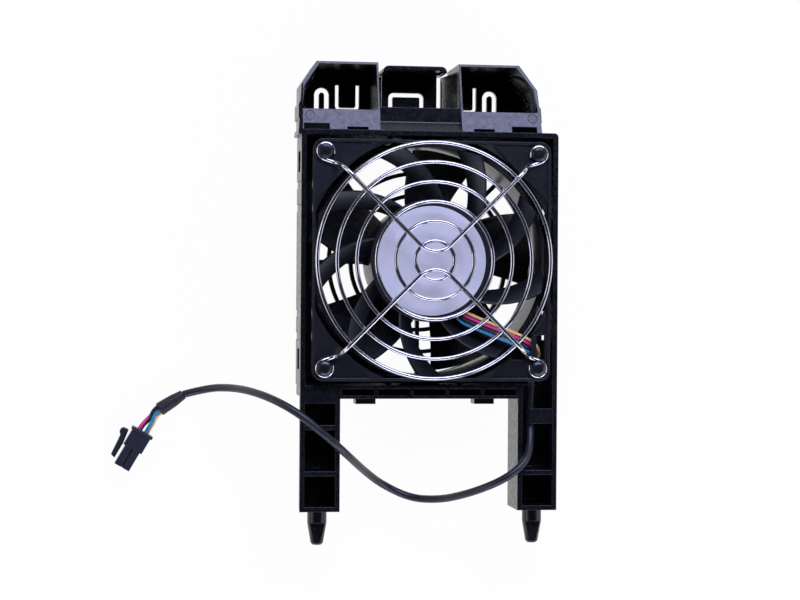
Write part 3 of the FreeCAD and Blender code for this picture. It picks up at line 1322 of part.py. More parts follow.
for obj in doc.Objects:
    if "Invalid" in obj.State or "Error" in obj.State:
        raise RuntimeError(f"{obj.Name} {obj.Label} {obj.State}")
os.makedirs("parts", exist_ok=True)
for node in nodes:
    shape = node.Shape
    if shape.isNull() or not shape.isValid():
        raise RuntimeError(f"{node.Label} has no valid shape")
    shape.exportStep(f"parts/{node.Label}.step")
    box = shape.BoundBox
    print(node.Label, len(shape.Solids), "solids", round(shape.Volume / 1000, 3), "cm3",
          [round(v, 2) for v in (box.XMin, box.YMin, box.ZMin, box.XMax, box.YMax, box.ZMax)])
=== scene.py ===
"""Looks of the cooling fan module: materials, cable, light and camera around the CAD frame."""
import bmesh
import bpy
import math
from mathutils import Matrix, Vector


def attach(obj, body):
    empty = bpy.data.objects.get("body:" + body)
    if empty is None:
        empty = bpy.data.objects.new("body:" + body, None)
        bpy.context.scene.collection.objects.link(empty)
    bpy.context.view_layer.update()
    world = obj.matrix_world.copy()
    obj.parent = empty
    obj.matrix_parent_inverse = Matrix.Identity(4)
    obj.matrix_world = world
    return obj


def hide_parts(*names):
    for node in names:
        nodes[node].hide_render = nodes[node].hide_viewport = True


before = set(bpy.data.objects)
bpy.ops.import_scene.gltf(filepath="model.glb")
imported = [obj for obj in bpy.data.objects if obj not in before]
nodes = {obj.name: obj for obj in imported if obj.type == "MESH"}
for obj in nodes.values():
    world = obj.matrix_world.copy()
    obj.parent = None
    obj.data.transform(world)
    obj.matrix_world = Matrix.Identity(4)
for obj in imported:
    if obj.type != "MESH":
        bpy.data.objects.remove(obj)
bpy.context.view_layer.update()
MM = 0.001

# The fan's axis, and its lower right corner, which the cable's route is measured from
FAN_HALF = 46.0
FAN_AXIS = Vector((0.6, 16.35, 0.0)) * MM
FAN_CORNER = FAN_AXIS + Vector((FAN_HALF, -FAN_HALF, 0.0)) * MM

# Cable sleeve: the route of the CAD tube from that corner, in metres
CABLE_ROUTE = [
    (-0.0050, 0.0044, 0.0310),
    (-0.0055, -0.0032, 0.0310),
    (-0.0057, -0.0108, 0.0309),
    (-0.0058, -0.0184, 0.0314),
    (-0.0064, -0.0256, 0.0352),
    (-0.0097, -0.0316, 0.0406),
    (-0.0172, -0.0372, 0.0418),
    (-0.0252, -0.0414, 0.0376),
    (-0.0324, -0.0449, 0.0289),
    (-0.0394, -0.0475, 0.0192),
    (-0.0496, -0.0477, 0.0112),
    (-0.0612, -0.0421, 0.0105),
    (-0.0685, -0.0365, 0.0195),
    (-0.0736, -0.0322, 0.0300),
    (-0.0794, -0.0270, 0.0394),
    (-0.0872, -0.0202, 0.0422),
    (-0.0966, -0.0124, 0.0418),
    (-0.1063, -0.0070, 0.0364),
    (-0.1143, -0.0044, 0.0255),
    (-0.1210, -0.0037, 0.0129),
    (-0.1298, -0.0042, 0.0048),
    (-0.1393, -0.0069, 0.0025),
]
CABLE_DIAMETER = 3.0 * MM

# Carrier, in mm from the fan axis: outer frame, fan bay, front face, and the back of the band round the bay
CARRIER_FRONT = 35.4
FRAME_HALF = 50.0
BAY_HALF = 48.0
BAND_BACK = 15.9

# Cuts run past the moulding by a margin, added solids stay a hair off its faces, and equal corners are welded
CUT_MARGIN = 1.0
HAIR = 0.03
WELD = 0.001

# Legs, drawn in towards the back
LEG_BOTTOM = 96.2
LEG_DRAFT = 1.5
LEG_CUT = 3.0

# Finger cups: the outer side, inner side and direction of each, then the shape of their hollows
CUPS = ((-51.2, -19.6, -1), (43.6, 12.0, 1))
CUPS_MIDDLE = (CUPS[0][1] + CUPS[1][1]) / 2
CUP_TOP = 77.0
CUP_LIP = 58.0
CUP_FOOT = CUP_LIP + 0.05
CUP_BEVEL = (7.6, 10.0)
CUP_TAPER = 1.0
CUP_DRAFT = 2.2
CUP_REAR = 2.05
CUP_WALL = 1.1
CUP_TOP_WALL = 1.0
CUP_INNER_WALL = 0.8

# Rails and ledge beside the release tab, and the shelf rib under it
RAIL_ROOT = 0.5
RAIL_FOOT = 3.0
RAIL_FRONT = 24.0
RAIL_TOP = 74.4
LEDGE_ROOT = 0.4
LEDGE_EDGE = -15.1
LEDGE_DEPTH = 1.6
SHELF_RIB = (53.2, 59.2)
SHELF_DEPTH = (29.43, 31.9)

# Roots of the snap fingers in the side walls
FINGER_PLACE = 24.9
FINGER_SLOT_PITCH = 4.4
FINGER_SLOT = 2.7
FINGER_ROOT = (29.9, 33.45)

# Cap of the release tab
TAB_CAP_HALF = 12.65
TAB_CAP_WALL = 1.7
TAB_CAP_SIDE = 0.4
TAB_CAP_REACH = (7.8, 18.2)
TAB_CAP_EDGE = 0.25
TAB_CORNER = 2.2
TAB_CORNER_STEPS = 6

# Moulded rim round the hollow in each cup's outer wall, right cup, in mm from the fan axis
CUP_RIM = [
    (35.3, 71.9, 8.5), (35.3, 72.8, 16.8), (36.8, 71.3, 25.0), (40.3, 65.4, 29.3), (40.8, 59.4, 31.0),
    (41.0, 56.0, 29.5), (40.3, 56.4, 21.5), (40.2, 59.6, 20.6), (40.0, 63.1, 20.0), (39.3, 66.7, 13.3),
    (37.0, 69.6, 8.3),
]
RIM_BEAD = 0.65

# Round mould marks on the leaning cup lips, in mm from the fan axis
LIP_MARKS = {"left_lip_mark": (-46.6, 55.4, 33.6), "right_lip_mark": (40.0, 55.6, 33.5)}
LIP_MARK_RADIUS = 1.8
LIP_MARK_BEAD = 0.12
LIP_MARK_STEPS = 40
LIP_LEAN = math.atan2(9.4, 29.0)

# Plug in its own frame: along the plug, across it and up, in mm from the middle of its back
PLUG_FROM_CABLE = Vector((-15.6, -14.3, 0.0)) * MM
PLUG_MIDDLE = 3.5 * MM
PLUG_ANGLE = math.radians(239.6)
PLUG_BODY = 8.0
PLUG_NOSE = 8.2
PLUG_PITCH = 3.0
NOSE_HALF = 3.2
NOSE_GROOVE_WIDTH = 0.56
NOSE_GROOVE_DEPTH = 2.2
LATCH_OUTLINE = [
    (2.2, -5.1), (2.3, -7.1), (3.2, -8.0), (4.6, -7.9), (5.6, -6.9), (9.3, -6.6), (14.0, -6.2),
    (14.5, -4.3), (7.9, -4.3),
]
LATCH_HALF_HEIGHT = 1.7
LATCH_EDGE = 0.35

# Collar round the plug's back: its stretch along the plug, then each side's reach across it and up
COLLAR = (0.1, 1.3)
COLLAR_SIDES = {
    "left": (-4.6, -4.0, -3.4, 4.0),
    "right": (4.0, 4.6, -3.4, 4.0),
    "top": (-4.0, 4.0, 3.5, 4.0),
}
COLLAR_EDGE = 0.15

# Shrink tube along its axis: place and radius, in mm; then the leads fan out from it to the plug
SHRINK_ANGLE = math.radians(32.5)
SHRINK_PROFILE = [(0.0, 1.9), (1.0, 2.0), (2.6, 2.2), (4.6, 2.5), (8.0, 2.6), (10.4, 2.75), (11.0, 2.6)]
SHRINK_LIFT = 0.03
LEAD_RADIUS = 0.7
LEAD_FAN = 1.0
LEAD_STAGGER = 0.5
LEAD_LEVEL = 0.1
LEAD_STRAIGHT = 2.0
LEAD_SEAT = 3.0

# Each lead's cell in the plug, its place in that cell, and its place in the shrink tube's mouth
PLUG_CELLS = {
    "red": (-1, 1, -0.4, (-0.4, -0.9)),
    "black": (-1, -1, 0.4, (-1.5, 0.3)),
    "blue": (1, 1, -0.4, (0.2, 1.0)),
    "yellow": (1, -1, 0.4, (1.4, 0.0)),
}

# Camera of the photograph: far above the module, a little to the left
CAMERA_PLACE = Vector((-115.6, 0.75, 761.7)) * MM
CAMERA_YAW = math.radians(8.18)
CAMERA_PITCH = math.radians(-0.04)
CAMERA_ROLL = math.radians(-0.37)
CAMERA_LENS = 86.07
CAMERA_SENSOR = 36.0
CAMERA_REACH = 20.0

# White floor in metres, and how much of it is white to the camera whatever the shadow
WHITE = (1.0, 1.0, 1.0, 1.0)
FLOOR_TONE = (0.96, 0.96, 0.97, 1.0)
FLOOR_ROUGHNESS = 0.9
FLOOR_HALF = 3.0
FLOOR_LEVEL = -0.0004
FLOOR_GLOW = 0.965

# Soft boxes low round the module: place and size in metres, power and tint
LAMPS = {
    "key": ((0.15, 0.85, 0.88), (1.0, 0.6), 16.0, (0.6, 0.63, 1.0)),
    "left": ((-1.1, 0.1, 0.45), (0.7, 0.5), 3.0, (0.78, 0.8, 1.0)),
    "right": ((1.1, -0.1, 0.5), (0.7, 0.5), 2.0, (0.8, 0.82, 1.0)),
    "corner": ((0.75, -0.75, 0.55), (0.5, 0.5), 4.0, (0.78, 0.8, 1.0)),
    "front": ((-0.1, -1.05, 0.6), (1.1, 0.5), 8.0, (0.76, 0.79, 1.0)),
}
LAMP_AIM = Vector((0.0, 0.0, 0.02))

# Studio surround by height: pale towards the horizon, dark overhead
SURROUND = [(0.3, (0.24, 0.25, 0.34)), (0.75, (0.012, 0.012, 0.018))]

# Sockets of a colour mix, which share their names with other kinds of mix
MIX_SHARE = 0
MIX_FIRST = 6
MIX_SECOND = 7
MIX_RESULT = 2


class Nodes:
    """Short calls for building one material's node tree."""

    def __init__(self, name):
        self.material = bpy.data.materials.new(name)
        self.material.use_nodes = True
        self.tree = self.material.node_tree
        self.shader = self.tree.nodes["Principled BSDF"]
        self.output = self.tree.nodes["Material Output"]

    def add(self, kind, **settings):
        node = self.tree.nodes.new(kind)
        for key, value in settings.items():
            setattr(node, key, value)
        return node

    def link(self, out, into):
        self.tree.links.new(out, into)

    def set(self, **values):
        """Sets constants on the shader's own sockets."""
        for key, value in values.items():
            self.shader.inputs[key.replace("_", " ")].default_value = value

    def noise(self, scale, detail, rough=0.55, stretch=None):
        """Noise over the object, with an optional stretch along its axes."""
        at = self.add("ShaderNodeTexCoord").outputs["Object"]
        if stretch:
            mapping = self.add("ShaderNodeMapping")
            mapping.inputs["Scale"].default_value = stretch
            self.link(at, mapping.inputs["Vector"])
            at = mapping.outputs["Vector"]
        noise = self.add("ShaderNodeTexNoise")
        noise.inputs["Scale"].default_value = scale
        noise.inputs["Detail"].default_value = detail
        noise.inputs["Roughness"].default_value = rough
        self.link(at, noise.inputs["Vector"])
        return noise.outputs["Fac"]

    def ramp(self, fac, low, high):
        """A colour ramp between two (place, colour) stops."""
        node = self.add("ShaderNodeValToRGB")
        for element, (at, colour) in zip(node.color_ramp.elements, (low, high)):
            element.position = at
            element.color = (*colour, 1.0)
        self.link(fac, node.inputs["Fac"])
        return node.outputs["Color"]

    def range(self, fac, low, high, from_low=0.0, from_high=1.0):
        node = self.add("ShaderNodeMapRange")
        node.inputs["From Min"].default_value = from_low
        node.inputs["From Max"].default_value = from_high
        node.inputs["To Min"].default_value = low
        node.inputs["To Max"].default_value = high
        self.link(fac, node.inputs["Value"])
        return node.outputs["Result"]

    def larger(self, a, b):
        node = self.add("ShaderNodeMath", operation="MAXIMUM")
        self.link(a, node.inputs[0])
        self.link(b, node.inputs[1])
        return node.outputs[0]

    def bump(self, height, strength, distance, normal=None):
        node = self.add("ShaderNodeBump")
        node.inputs["Strength"].default_value = strength
        node.inputs["Distance"].default_value = distance
        self.link(height, node.inputs["Height"])
        if normal is not None:
            self.link(normal, node.inputs["Normal"])
        return node.outputs["Normal"]

    def soft_edges(self, radius):
        """Normals rounded over sharp edges, as on a moulding."""
        node = self.add("ShaderNodeBevel", samples=6)
        node.inputs["Radius"].default_value = radius
        return node.outputs["Normal"]

    def colour(self, out):
        self.link(out, self.shader.inputs["Base Color"])

    def roughness(self, out):
        self.link(out, self.shader.inputs["Roughness"])

    def normal(self, out):
        self.link(out, self.shader.inputs["Normal"])


def moulded_plastic(name, dark, light, rough=(0.24, 0.34), edge=0.00035):
    """Moulded thermoplastic: faint flow variation, patchy gloss, fine spark-eroded grain and soft edges."""
    n = Nodes(name)
    cloud = n.noise(scale=38.0, detail=5.0)
    patches = n.noise(scale=520.0, detail=6.0, rough=0.7)
    grain = n.noise(scale=2600.0, detail=2.0, rough=0.6)
    n.colour(n.ramp(cloud, (0.3, dark), (0.72, light)))
    n.roughness(n.range(patches, *rough, from_low=0.32, from_high=0.68))
    n.normal(n.bump(grain, strength=0.35, distance=0.00002, normal=n.soft_edges(edge)))
    return n.material


def bright_wire(name):
    """Plated wire: bright metal with faint drawing marks."""
    n = Nodes(name)
    n.set(Metallic=1.0)
    marks = n.noise(scale=900.0, detail=3.0)
    n.colour(n.ramp(marks, (0.25, (0.5, 0.49, 0.5)), (0.75, (0.68, 0.67, 0.68))))
    n.roughness(n.range(marks, 0.08, 0.2))
    n.normal(n.bump(marks, strength=0.12, distance=0.00003))
    return n.material


def ground_metal(name, dark, light, rough=(0.28, 0.42)):
    """Turned or ground metal with fine marks."""
    n = Nodes(name)
    n.set(Metallic=1.0)
    marks = n.noise(scale=700.0, detail=4.0, stretch=(1.0, 1.0, 6.0))
    n.colour(n.ramp(marks, (0.3, dark), (0.7, light)))
    n.roughness(n.range(marks, *rough))
    n.normal(n.bump(marks, strength=0.15, distance=0.00004))
    return n.material


def insulation(name, dark, light):
    """Soft wire insulation with a faint sheen."""
    n = Nodes(name)
    mottle = n.noise(scale=420.0, detail=3.0)
    skin = n.noise(scale=1500.0, detail=2.0)
    n.colour(n.ramp(mottle, (0.3, dark), (0.7, light)))
    n.roughness(n.range(mottle, 0.34, 0.5))
    n.normal(n.bump(skin, strength=0.15, distance=0.00004))
    return n.material


def shrunk_sleeve(name):
    """Dull black shrink sleeve, puckered a little over the leads."""
    n = Nodes(name)
    pucker = n.noise(scale=260.0, detail=4.0)
    n.colour(n.ramp(pucker, (0.3, (0.005, 0.005, 0.007)), (0.7, (0.012, 0.012, 0.015))))
    n.roughness(n.range(pucker, 0.5, 0.66))
    n.normal(n.bump(pucker, strength=0.6, distance=0.0003))
    return n.material


def label_film(name):
    """Bare silver film with a fine brushed sheen."""
    n = Nodes(name)
    n.set(Metallic=0.25)
    cloud = n.noise(scale=60.0, detail=4.0)
    brushing = n.noise(scale=1800.0, detail=2.0, stretch=(1.0, 8.0, 1.0))
    n.colour(n.ramp(cloud, (0.3, (0.8, 0.805, 0.85)), (0.7, (0.9, 0.905, 0.95))))
    n.roughness(n.range(cloud, 0.36, 0.5))
    n.normal(n.bump(brushing, strength=0.1, distance=0.00003))
    return n.material


def circuit_laminate(name):
    """Green laminate with a slightly uneven lacquer."""
    n = Nodes(name)
    cloud = n.noise(scale=300.0, detail=4.0)
    n.colour(n.ramp(cloud, (0.35, (0.02, 0.09, 0.04)), (0.65, (0.04, 0.16, 0.07))))
    n.roughness(n.range(cloud, 0.3, 0.45))
    return n.material


def enamelled_copper(name):
    """Wound copper wire under enamel, with its turns."""
    n = Nodes(name)
    n.set(Metallic=0.8)
    turns = n.noise(scale=500.0, detail=2.0, stretch=(1.0, 1.0, 12.0))
    n.colour(n.ramp(turns, (0.3, (0.35, 0.13, 0.05)), (0.7, (0.62, 0.28, 0.12))))
    n.roughness(n.range(turns, 0.25, 0.4))
    n.normal(n.bump(turns, strength=0.5, distance=0.0001))
    return n.material


MATERIALS = {
    "carrier": moulded_plastic("carrier_plastic", (0.003, 0.0034, 0.005), (0.006, 0.0065, 0.0095),
                               rough=(0.19, 0.4)),
    "fan": moulded_plastic("fan_plastic", (0.007, 0.0075, 0.0105), (0.012, 0.0128, 0.017), rough=(0.3, 0.4)),
    "rotor": moulded_plastic("rotor_plastic", (0.0045, 0.0045, 0.006), (0.008, 0.008, 0.011)),
    "plug": moulded_plastic("plug_plastic", (0.018, 0.019, 0.027), (0.03, 0.031, 0.043), edge=0.0002),
    "rivet": moulded_plastic("rivet_plastic", (0.005, 0.005, 0.007), (0.009, 0.009, 0.012), edge=0.0002),
    "wire": bright_wire("guard_wire"),
    "steel": ground_metal("ground_steel", (0.42, 0.42, 0.44), (0.6, 0.6, 0.62)),
    "brass": ground_metal("turned_brass", (0.5, 0.34, 0.12), (0.7, 0.52, 0.24)),
    "magnet": ground_metal("ferrite", (0.05, 0.048, 0.045), (0.09, 0.085, 0.08), rough=(0.5, 0.65)),
    "laminations": ground_metal("laminations", (0.2, 0.2, 0.21), (0.36, 0.36, 0.37)),
    "copper": enamelled_copper("enamelled_copper"),
    "board": circuit_laminate("circuit_laminate"),
    "label": label_film("label_film"),
    "yellow": insulation("yellow_insulation", (0.95, 0.52, 0.13), (0.99, 0.64, 0.24)),
    "red": insulation("red_insulation", (0.62, 0.016, 0.18), (0.78, 0.05, 0.28)),
    "black": insulation("black_insulation", (0.008, 0.008, 0.01), (0.02, 0.02, 0.024)),
    "blue": insulation("blue_insulation", (0.01, 0.2, 0.37), (0.024, 0.28, 0.47)),
    "sleeve": insulation("cable_sleeve", (0.009, 0.009, 0.014), (0.018, 0.018, 0.026)),
    "shrink": shrunk_sleeve("shrink_sleeve"),
}

# The look of each CAD node
NODE_MATERIALS = {
    "carrier": "carrier", "release_tab": "carrier", "fan_frame": "fan", "impeller": "rotor",
    "rotor_yoke": "steel", "rotor_magnet": "magnet", "shaft": "steel", "shaft_clip": "steel",
    "shaft_spacer": "brass", "bearing_inner_rings": "steel", "bearing_outer_rings": "steel",
    "bearing_balls": "steel", "bearing_tube": "brass", "stator_core": "laminations",
    "stator_windings": "copper", "circuit_board": "board", "hub_label": "label", "guard_rings": "wire",
    "guard_spokes": "wire", "guard_rivets": "rivet", "lead_yellow": "yellow", "lead_red": "red",
    "lead_black": "black", "lead_blue": "blue", "cable_sleeve": "sleeve", "shrink_tube": "shrink",
    "plug_lead_yellow": "yellow", "plug_lead_red": "red", "plug_lead_black": "black",
    "plug_lead_blue": "blue", "plug_housing": "plug", "plug_contacts": "brass", "plug_latch": "plug",
}


def dress_nodes():
    """Gives each CAD node its material."""
    for name, look in NODE_MATERIALS.items():
        mesh = nodes[name].data
        mesh.materials.clear()
        mesh.materials.append(MATERIALS[look])


def add_piece(name, data, look, body="module"):
    """A new piece with one material that rides on a body."""
    data.materials.append(MATERIALS[look])
    piece = bpy.data.objects.new(name, data)
    bpy.context.scene.collection.objects.link(piece)
    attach(piece, body)
    return piece


def rectangle(x_from, x_to, y_from, y_to):
    """The corners of a rectangle, in turn."""
    return [(x_from, y_from), (x_to, y_from), (x_to, y_to), (x_from, y_to)]


def loft(foot, head, softness=0.0):
    """A closed shape between two outlines of equally many points, in mm, with softened edges."""
    shape = bmesh.new()
    low = [shape.verts.new(Vector(p) * MM) for p in foot]
    high = [shape.verts.new(Vector(p) * MM) for p in head]
    shape.faces.new(low[::-1])
    shape.faces.new(high)
    for k in range(len(low)):
        after = (k + 1) % len(low)
        shape.faces.new((low[k], low[after], high[after], high[k]))
    bmesh.ops.recalc_face_normals(shape, faces=shape.faces)
    if softness:
        bmesh.ops.bevel(shape, geom=shape.edges[:], offset=softness * MM, segments=3, profile=0.5,
                        affect="EDGES", clamp_overlap=True)
    data = bpy.data.meshes.new("loft")
    shape.to_mesh(data)
    shape.free()
    return data


def prism(outline, low, high, softness=0.0):
    """An outline in X and Y carried from one height to another."""
    return loft([(x, y, low) for x, y in outline], [(x, y, high) for x, y in outline], softness)


def side_prism(outline, low, high):
    """An outline in X and Z carried from one Y to another."""
    return loft([(x, low, z) for x, z in outline], [(x, high, z) for x, z in outline])


def moved(data, place):
    """The same mesh, carried to its place."""
    data.transform(place)
    return data


def cut_away(data, cut):
    """A mesh less a cut."""
    blank = bpy.data.objects.new("blank", data)
    cutter = bpy.data.objects.new("cutter", cut)
    for thing in (blank, cutter):
        bpy.context.scene.collection.objects.link(thing)
    boolean = blank.modifiers.new("cut", "BOOLEAN")
    boolean.operation = "DIFFERENCE"
    boolean.solver = "EXACT"
    boolean.object = cutter
    depsgraph = bpy.context.evaluated_depsgraph_get()
    rest = bpy.data.meshes.new_from_object(blank.evaluated_get(depsgraph))
    for thing in (blank, cutter):
        bpy.data.objects.remove(thing)
    return rest


def recut(name, node, cuts, additions, look):
    """A new piece in a CAD node's place: the node's shape less some cuts, with some solids added."""
    data = nodes[node].data.copy()
    shape = bmesh.new()
    shape.from_mesh(data)
    # Borders of the node's smooth faces are remembered as the edges that aren't seams
    for edge in shape.edges:
        edge.seam = not edge.is_boundary
    bmesh.ops.remove_doubles(shape, verts=shape.verts, dist=WELD * MM)
    shape.to_mesh(data)
    shape.free()
    for cut in cuts:
        data = cut_away(data, cut)
    shape = bmesh.new()
    for part in [data] + additions:
        shape.from_mesh(part)
    for face in shape.faces:
        face.smooth = True
    for edge in shape.edges:
        edge.smooth = edge.seam
        edge.seam = False
    data = bpy.data.meshes.new(name)
    shape.to_mesh(data)
    shape.free()
    piece = add_piece(name, data, look)
    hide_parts(node)
    return piece


def smooth_loop(points, steps=8):
    """A closed curve that passes through all the points."""
    spots = [Vector(p) for p in points]
    count = len(spots)
    loop = []
    for i in range(count):
        a, b, c, d = (spots[(i + k) % count] for k in (-1, 0, 1, 2))
        for k in range(steps):
            u = k / steps
            loop.append(0.5 * (2 * b + (c - a) * u + (2 * a - 5 * b + 4 * c - d) * u ** 2
                               + (3 * b - a - 3 * c + d) * u ** 3))
    return loop


def round_strand(name, points, radius, sides=5, steps=12, swell=None):
    """A smooth round strand along control points in metres, with an optional swelling at each."""
    data = bpy.data.curves.new(name, "CURVE")
    data.dimensions = "3D"
    data.bevel_depth = radius
    data.bevel_resolution = sides
    data.resolution_u = steps
    data.use_fill_caps = True
    spline = data.splines.new("NURBS")
    spline.points.add(len(points) - 1)
    for k, (point, spot) in enumerate(zip(spline.points, points)):
        point.co = (*spot, 1.0)
        point.radius = swell[k] if swell else 1.0
    spline.order_u = 3
    spline.use_endpoint_u = True
    return data


def leg_cut(side):
    """A wedge off the outer side of one leg, which draws the leg in towards the back."""
    slope = LEG_DRAFT / (CARRIER_FRONT - BAND_BACK)
    front = CARRIER_FRONT + CUT_MARGIN
    back = BAND_BACK - CUT_MARGIN
    outside = (FRAME_HALF + LEG_CUT) * side
    wedge = [((FRAME_HALF + slope * CUT_MARGIN) * side, front),
             ((FRAME_HALF - LEG_DRAFT - slope * CUT_MARGIN) * side, back), (outside, back), (outside, front)]
    return side_prism(wedge, -LEG_BOTTOM - CUT_MARGIN, -BAY_HALF)


def cup_hollow(outer, inner, side, z):
    """Outline of a finger cup's hollow at one height, inside walls of even thickness."""
    drawn = CUP_DRAFT * (1 - z / CARRIER_FRONT)
    skin = outer - (CUP_WALL + drawn) * side
    shoulder = outer - (CUP_BEVEL[0] + CUP_WALL / 2 + drawn) * side
    near = inner + CUP_INNER_WALL * side
    top = CUP_TOP - CUP_TOP_WALL
    return [(skin, CUP_FOOT, z), (near, CUP_FOOT, z), (near, top, z), (shoulder, top, z),
            (skin - CUP_TAPER * side, CUP_TOP - CUP_BEVEL[1], z)]


def cup_cut(outer, inner, side):
    """The whole hollow of a finger cup, from its rear wall out past its front."""
    return loft(cup_hollow(outer, inner, side, CUP_REAR),
                cup_hollow(outer, inner, side, CARRIER_FRONT + CUT_MARGIN))


def inner_wall_middle(inner, side):
    """The middle of a cup's inner wall, where added solids are rooted."""
    return inner + CUP_INNER_WALL / 2 * side


def rail(inner, side):
    """A rail that slopes from a cup's inner wall towards the release tab."""
    wall = inner_wall_middle(inner, side)
    outline = [(inner, RAIL_FRONT), (inner - RAIL_FOOT * side, HAIR), (wall, HAIR), (wall, RAIL_FRONT)]
    return side_prism(outline, FRAME_HALF - RAIL_ROOT, RAIL_TOP)


def ledge():
    """A low ledge at the back of the left rail, close to the release tab."""
    _, inner, side = CUPS[0]
    outline = rectangle(inner_wall_middle(inner, side), LEDGE_EDGE, 2 * HAIR, LEDGE_DEPTH)
    return side_prism(outline, FRAME_HALF - LEDGE_ROOT, RAIL_TOP - HAIR)


def shelf_rib():
    """The rib along the shelf under the release tab, from cup to cup."""
    left, right = (inner_wall_middle(inner, side) for _, inner, side in CUPS)
    return prism(rectangle(left, right, *SHELF_RIB), *SHELF_DEPTH)


def finger_roots(side):
    """Solid roots that close the front ends of the slots beside a side wall's snap fingers."""
    roots = []
    for finger in (-1, 1):
        for edge in (-1, 1):
            middle = FINGER_PLACE * finger + FINGER_SLOT_PITCH * edge
            outline = rectangle((BAY_HALF + HAIR) * side, (FRAME_HALF - HAIR) * side,
                                middle - FINGER_SLOT / 2, middle + FINGER_SLOT / 2)
            roots.append(prism(outline, *FINGER_ROOT))
    return roots


def build_carrier():
    """The carrier with drawn-in legs, thin cup walls, rails, ledge, shelf rib and closed finger roots."""
    cuts = []
    additions = [ledge(), shelf_rib()]
    for outer, inner, side in CUPS:
        cuts += [leg_cut(side), cup_cut(outer, inner, side)]
        additions += [rail(inner, side)] + finger_roots(side)
    for solid in cuts + additions:
        moved(solid, Matrix.Translation(FAN_AXIS))
    return recut("carrier_moulding", "carrier", cuts, additions, "carrier")


def moulded_bead(name, carrier, loop, radius):
    """A closed round bead that lies on the carrier's skin, half sunk into it."""
    data = bpy.data.curves.new(name, "CURVE")
    data.dimensions = "3D"
    data.bevel_depth = radius * MM
    data.bevel_resolution = 3
    spline = data.splines.new("POLY")
    spline.points.add(len(loop) - 1)
    for point, spot in zip(spline.points, loop):
        on_skin = carrier.closest_point_on_mesh(spot * MM + FAN_AXIS)[1]
        point.co = (*on_skin, 1.0)
    spline.use_cyclic_u = True
    add_piece(name, data, "carrier")


def build_cup_details(carrier):
    """Rims inside the finger cups and round mould marks on their lips."""
    for name, side in (("right_cup_rim", 1), ("left_cup_rim", -1)):
        rim = [(CUPS_MIDDLE + (x - CUPS_MIDDLE) * side, y, z) for x, y, z in CUP_RIM]
        moulded_bead(name, carrier, smooth_loop(rim), RIM_BEAD)
    across = Vector((1.0, 0.0, 0.0))
    up = Vector((0.0, math.cos(LIP_LEAN), -math.sin(LIP_LEAN)))
    turns = [math.tau * k / LIP_MARK_STEPS for k in range(LIP_MARK_STEPS)]
    circle = [(across * math.cos(a) + up * math.sin(a)) * LIP_MARK_RADIUS for a in turns]
    for name, middle in LIP_MARKS.items():
        moulded_bead(name, carrier, [Vector(middle) + spot for spot in circle], LIP_MARK_BEAD)


def build_tab_cap():
    """The forward reach of the release tab's rounded cap."""
    turns = [math.radians(90 / TAB_CORNER_STEPS * k) for k in range(TAB_CORNER_STEPS + 1)]
    corner_x = TAB_CAP_HALF - TAB_CORNER
    corner_y = CUP_TOP - HAIR - TAB_CORNER
    foot = CUP_TOP - TAB_CORNER - TAB_CAP_SIDE
    half = [(corner_x + math.sin(a) * TAB_CORNER, corner_y + math.cos(a) * TAB_CORNER) for a in turns]
    half += [(TAB_CAP_HALF, foot), (TAB_CAP_HALF - TAB_CAP_WALL, foot), (corner_x, CUP_TOP - TAB_CAP_WALL)]
    outline = half + [(-x, y) for x, y in reversed(half)]
    place = Matrix.Translation(FAN_AXIS + Vector((CUPS_MIDDLE, 0.0, 0.0)) * MM)
    cap = moved(prism(outline, *TAB_CAP_REACH, TAB_CAP_EDGE), place)
    add_piece("tab_cap", cap, "carrier", "release_tab")


def plug_frame(end):
    """The plug's own axes, from the place where the cable's sleeve ends."""
    place = Vector((end.x, end.y, PLUG_MIDDLE)) + PLUG_FROM_CABLE
    return Matrix.Translation(place) @ Matrix.Rotation(PLUG_ANGLE, 4, "Z")


def build_shrink(end, slope):
    """The shrink tube that closes the sleeve's end."""
    widest = max(radius for _, radius in SHRINK_PROFILE)
    points = [end + slope * at * MM for at, _ in SHRINK_PROFILE]
    swell = [radius / widest for _, radius in SHRINK_PROFILE]
    strand = round_strand("shrink_sleeve", points, widest * MM, swell=swell)
    shrink = add_piece("shrink_sleeve", strand, "shrink")
    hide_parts("shrink_tube")
    return shrink


def build_plug_leads(mouth, along, plug):
    """The four leads, which fan out between the shrink tube's mouth and the plug's cells."""
    back = plug.translation
    ahead = plug.to_3x3() @ Vector((1.0, 0.0, 0.0))
    left = plug.to_3x3() @ Vector((0.0, 1.0, 0.0))
    sideways = Vector((-along.y, along.x, 0.0))
    rise = Vector((0.0, 0.0, 1.0))
    fan_middle = (len(PLUG_CELLS) - 1) / 2
    leads = []
    for k, (colour, (column, row, aside, (across, above))) in enumerate(PLUG_CELLS.items()):
        first = mouth + (sideways * across + rise * above) * MM
        last = back + (left * (column * PLUG_PITCH / 2 + aside) + rise * row * PLUG_PITCH / 2) * MM
        stagger = math.copysign(LEAD_STAGGER, above - LEAD_LEVEL)
        middle = (mouth + back) / 2 + (left * (k - fan_middle) * LEAD_FAN + rise * stagger) * MM
        points = [first - along * LEAD_STRAIGHT * MM, first + along * LEAD_STRAIGHT * MM, middle,
                  last - ahead * LEAD_STRAIGHT * MM, last + ahead * LEAD_SEAT * MM]
        name = f"plug_wire_{colour}"
        lead = add_piece(name, round_strand(name, points, LEAD_RADIUS * MM), colour)
        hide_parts(f"plug_lead_{colour}")
        leads.append(lead)
    return leads


def build_latch(plug):
    """The plug's latch lever with rounded edges."""
    lever = moved(prism(LATCH_OUTLINE, -LATCH_HALF_HEIGHT, LATCH_HALF_HEIGHT, LATCH_EDGE), plug)
    latch = add_piece("latch_lever", lever, "plug", "plug_latch")
    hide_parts("plug_latch")
    return latch


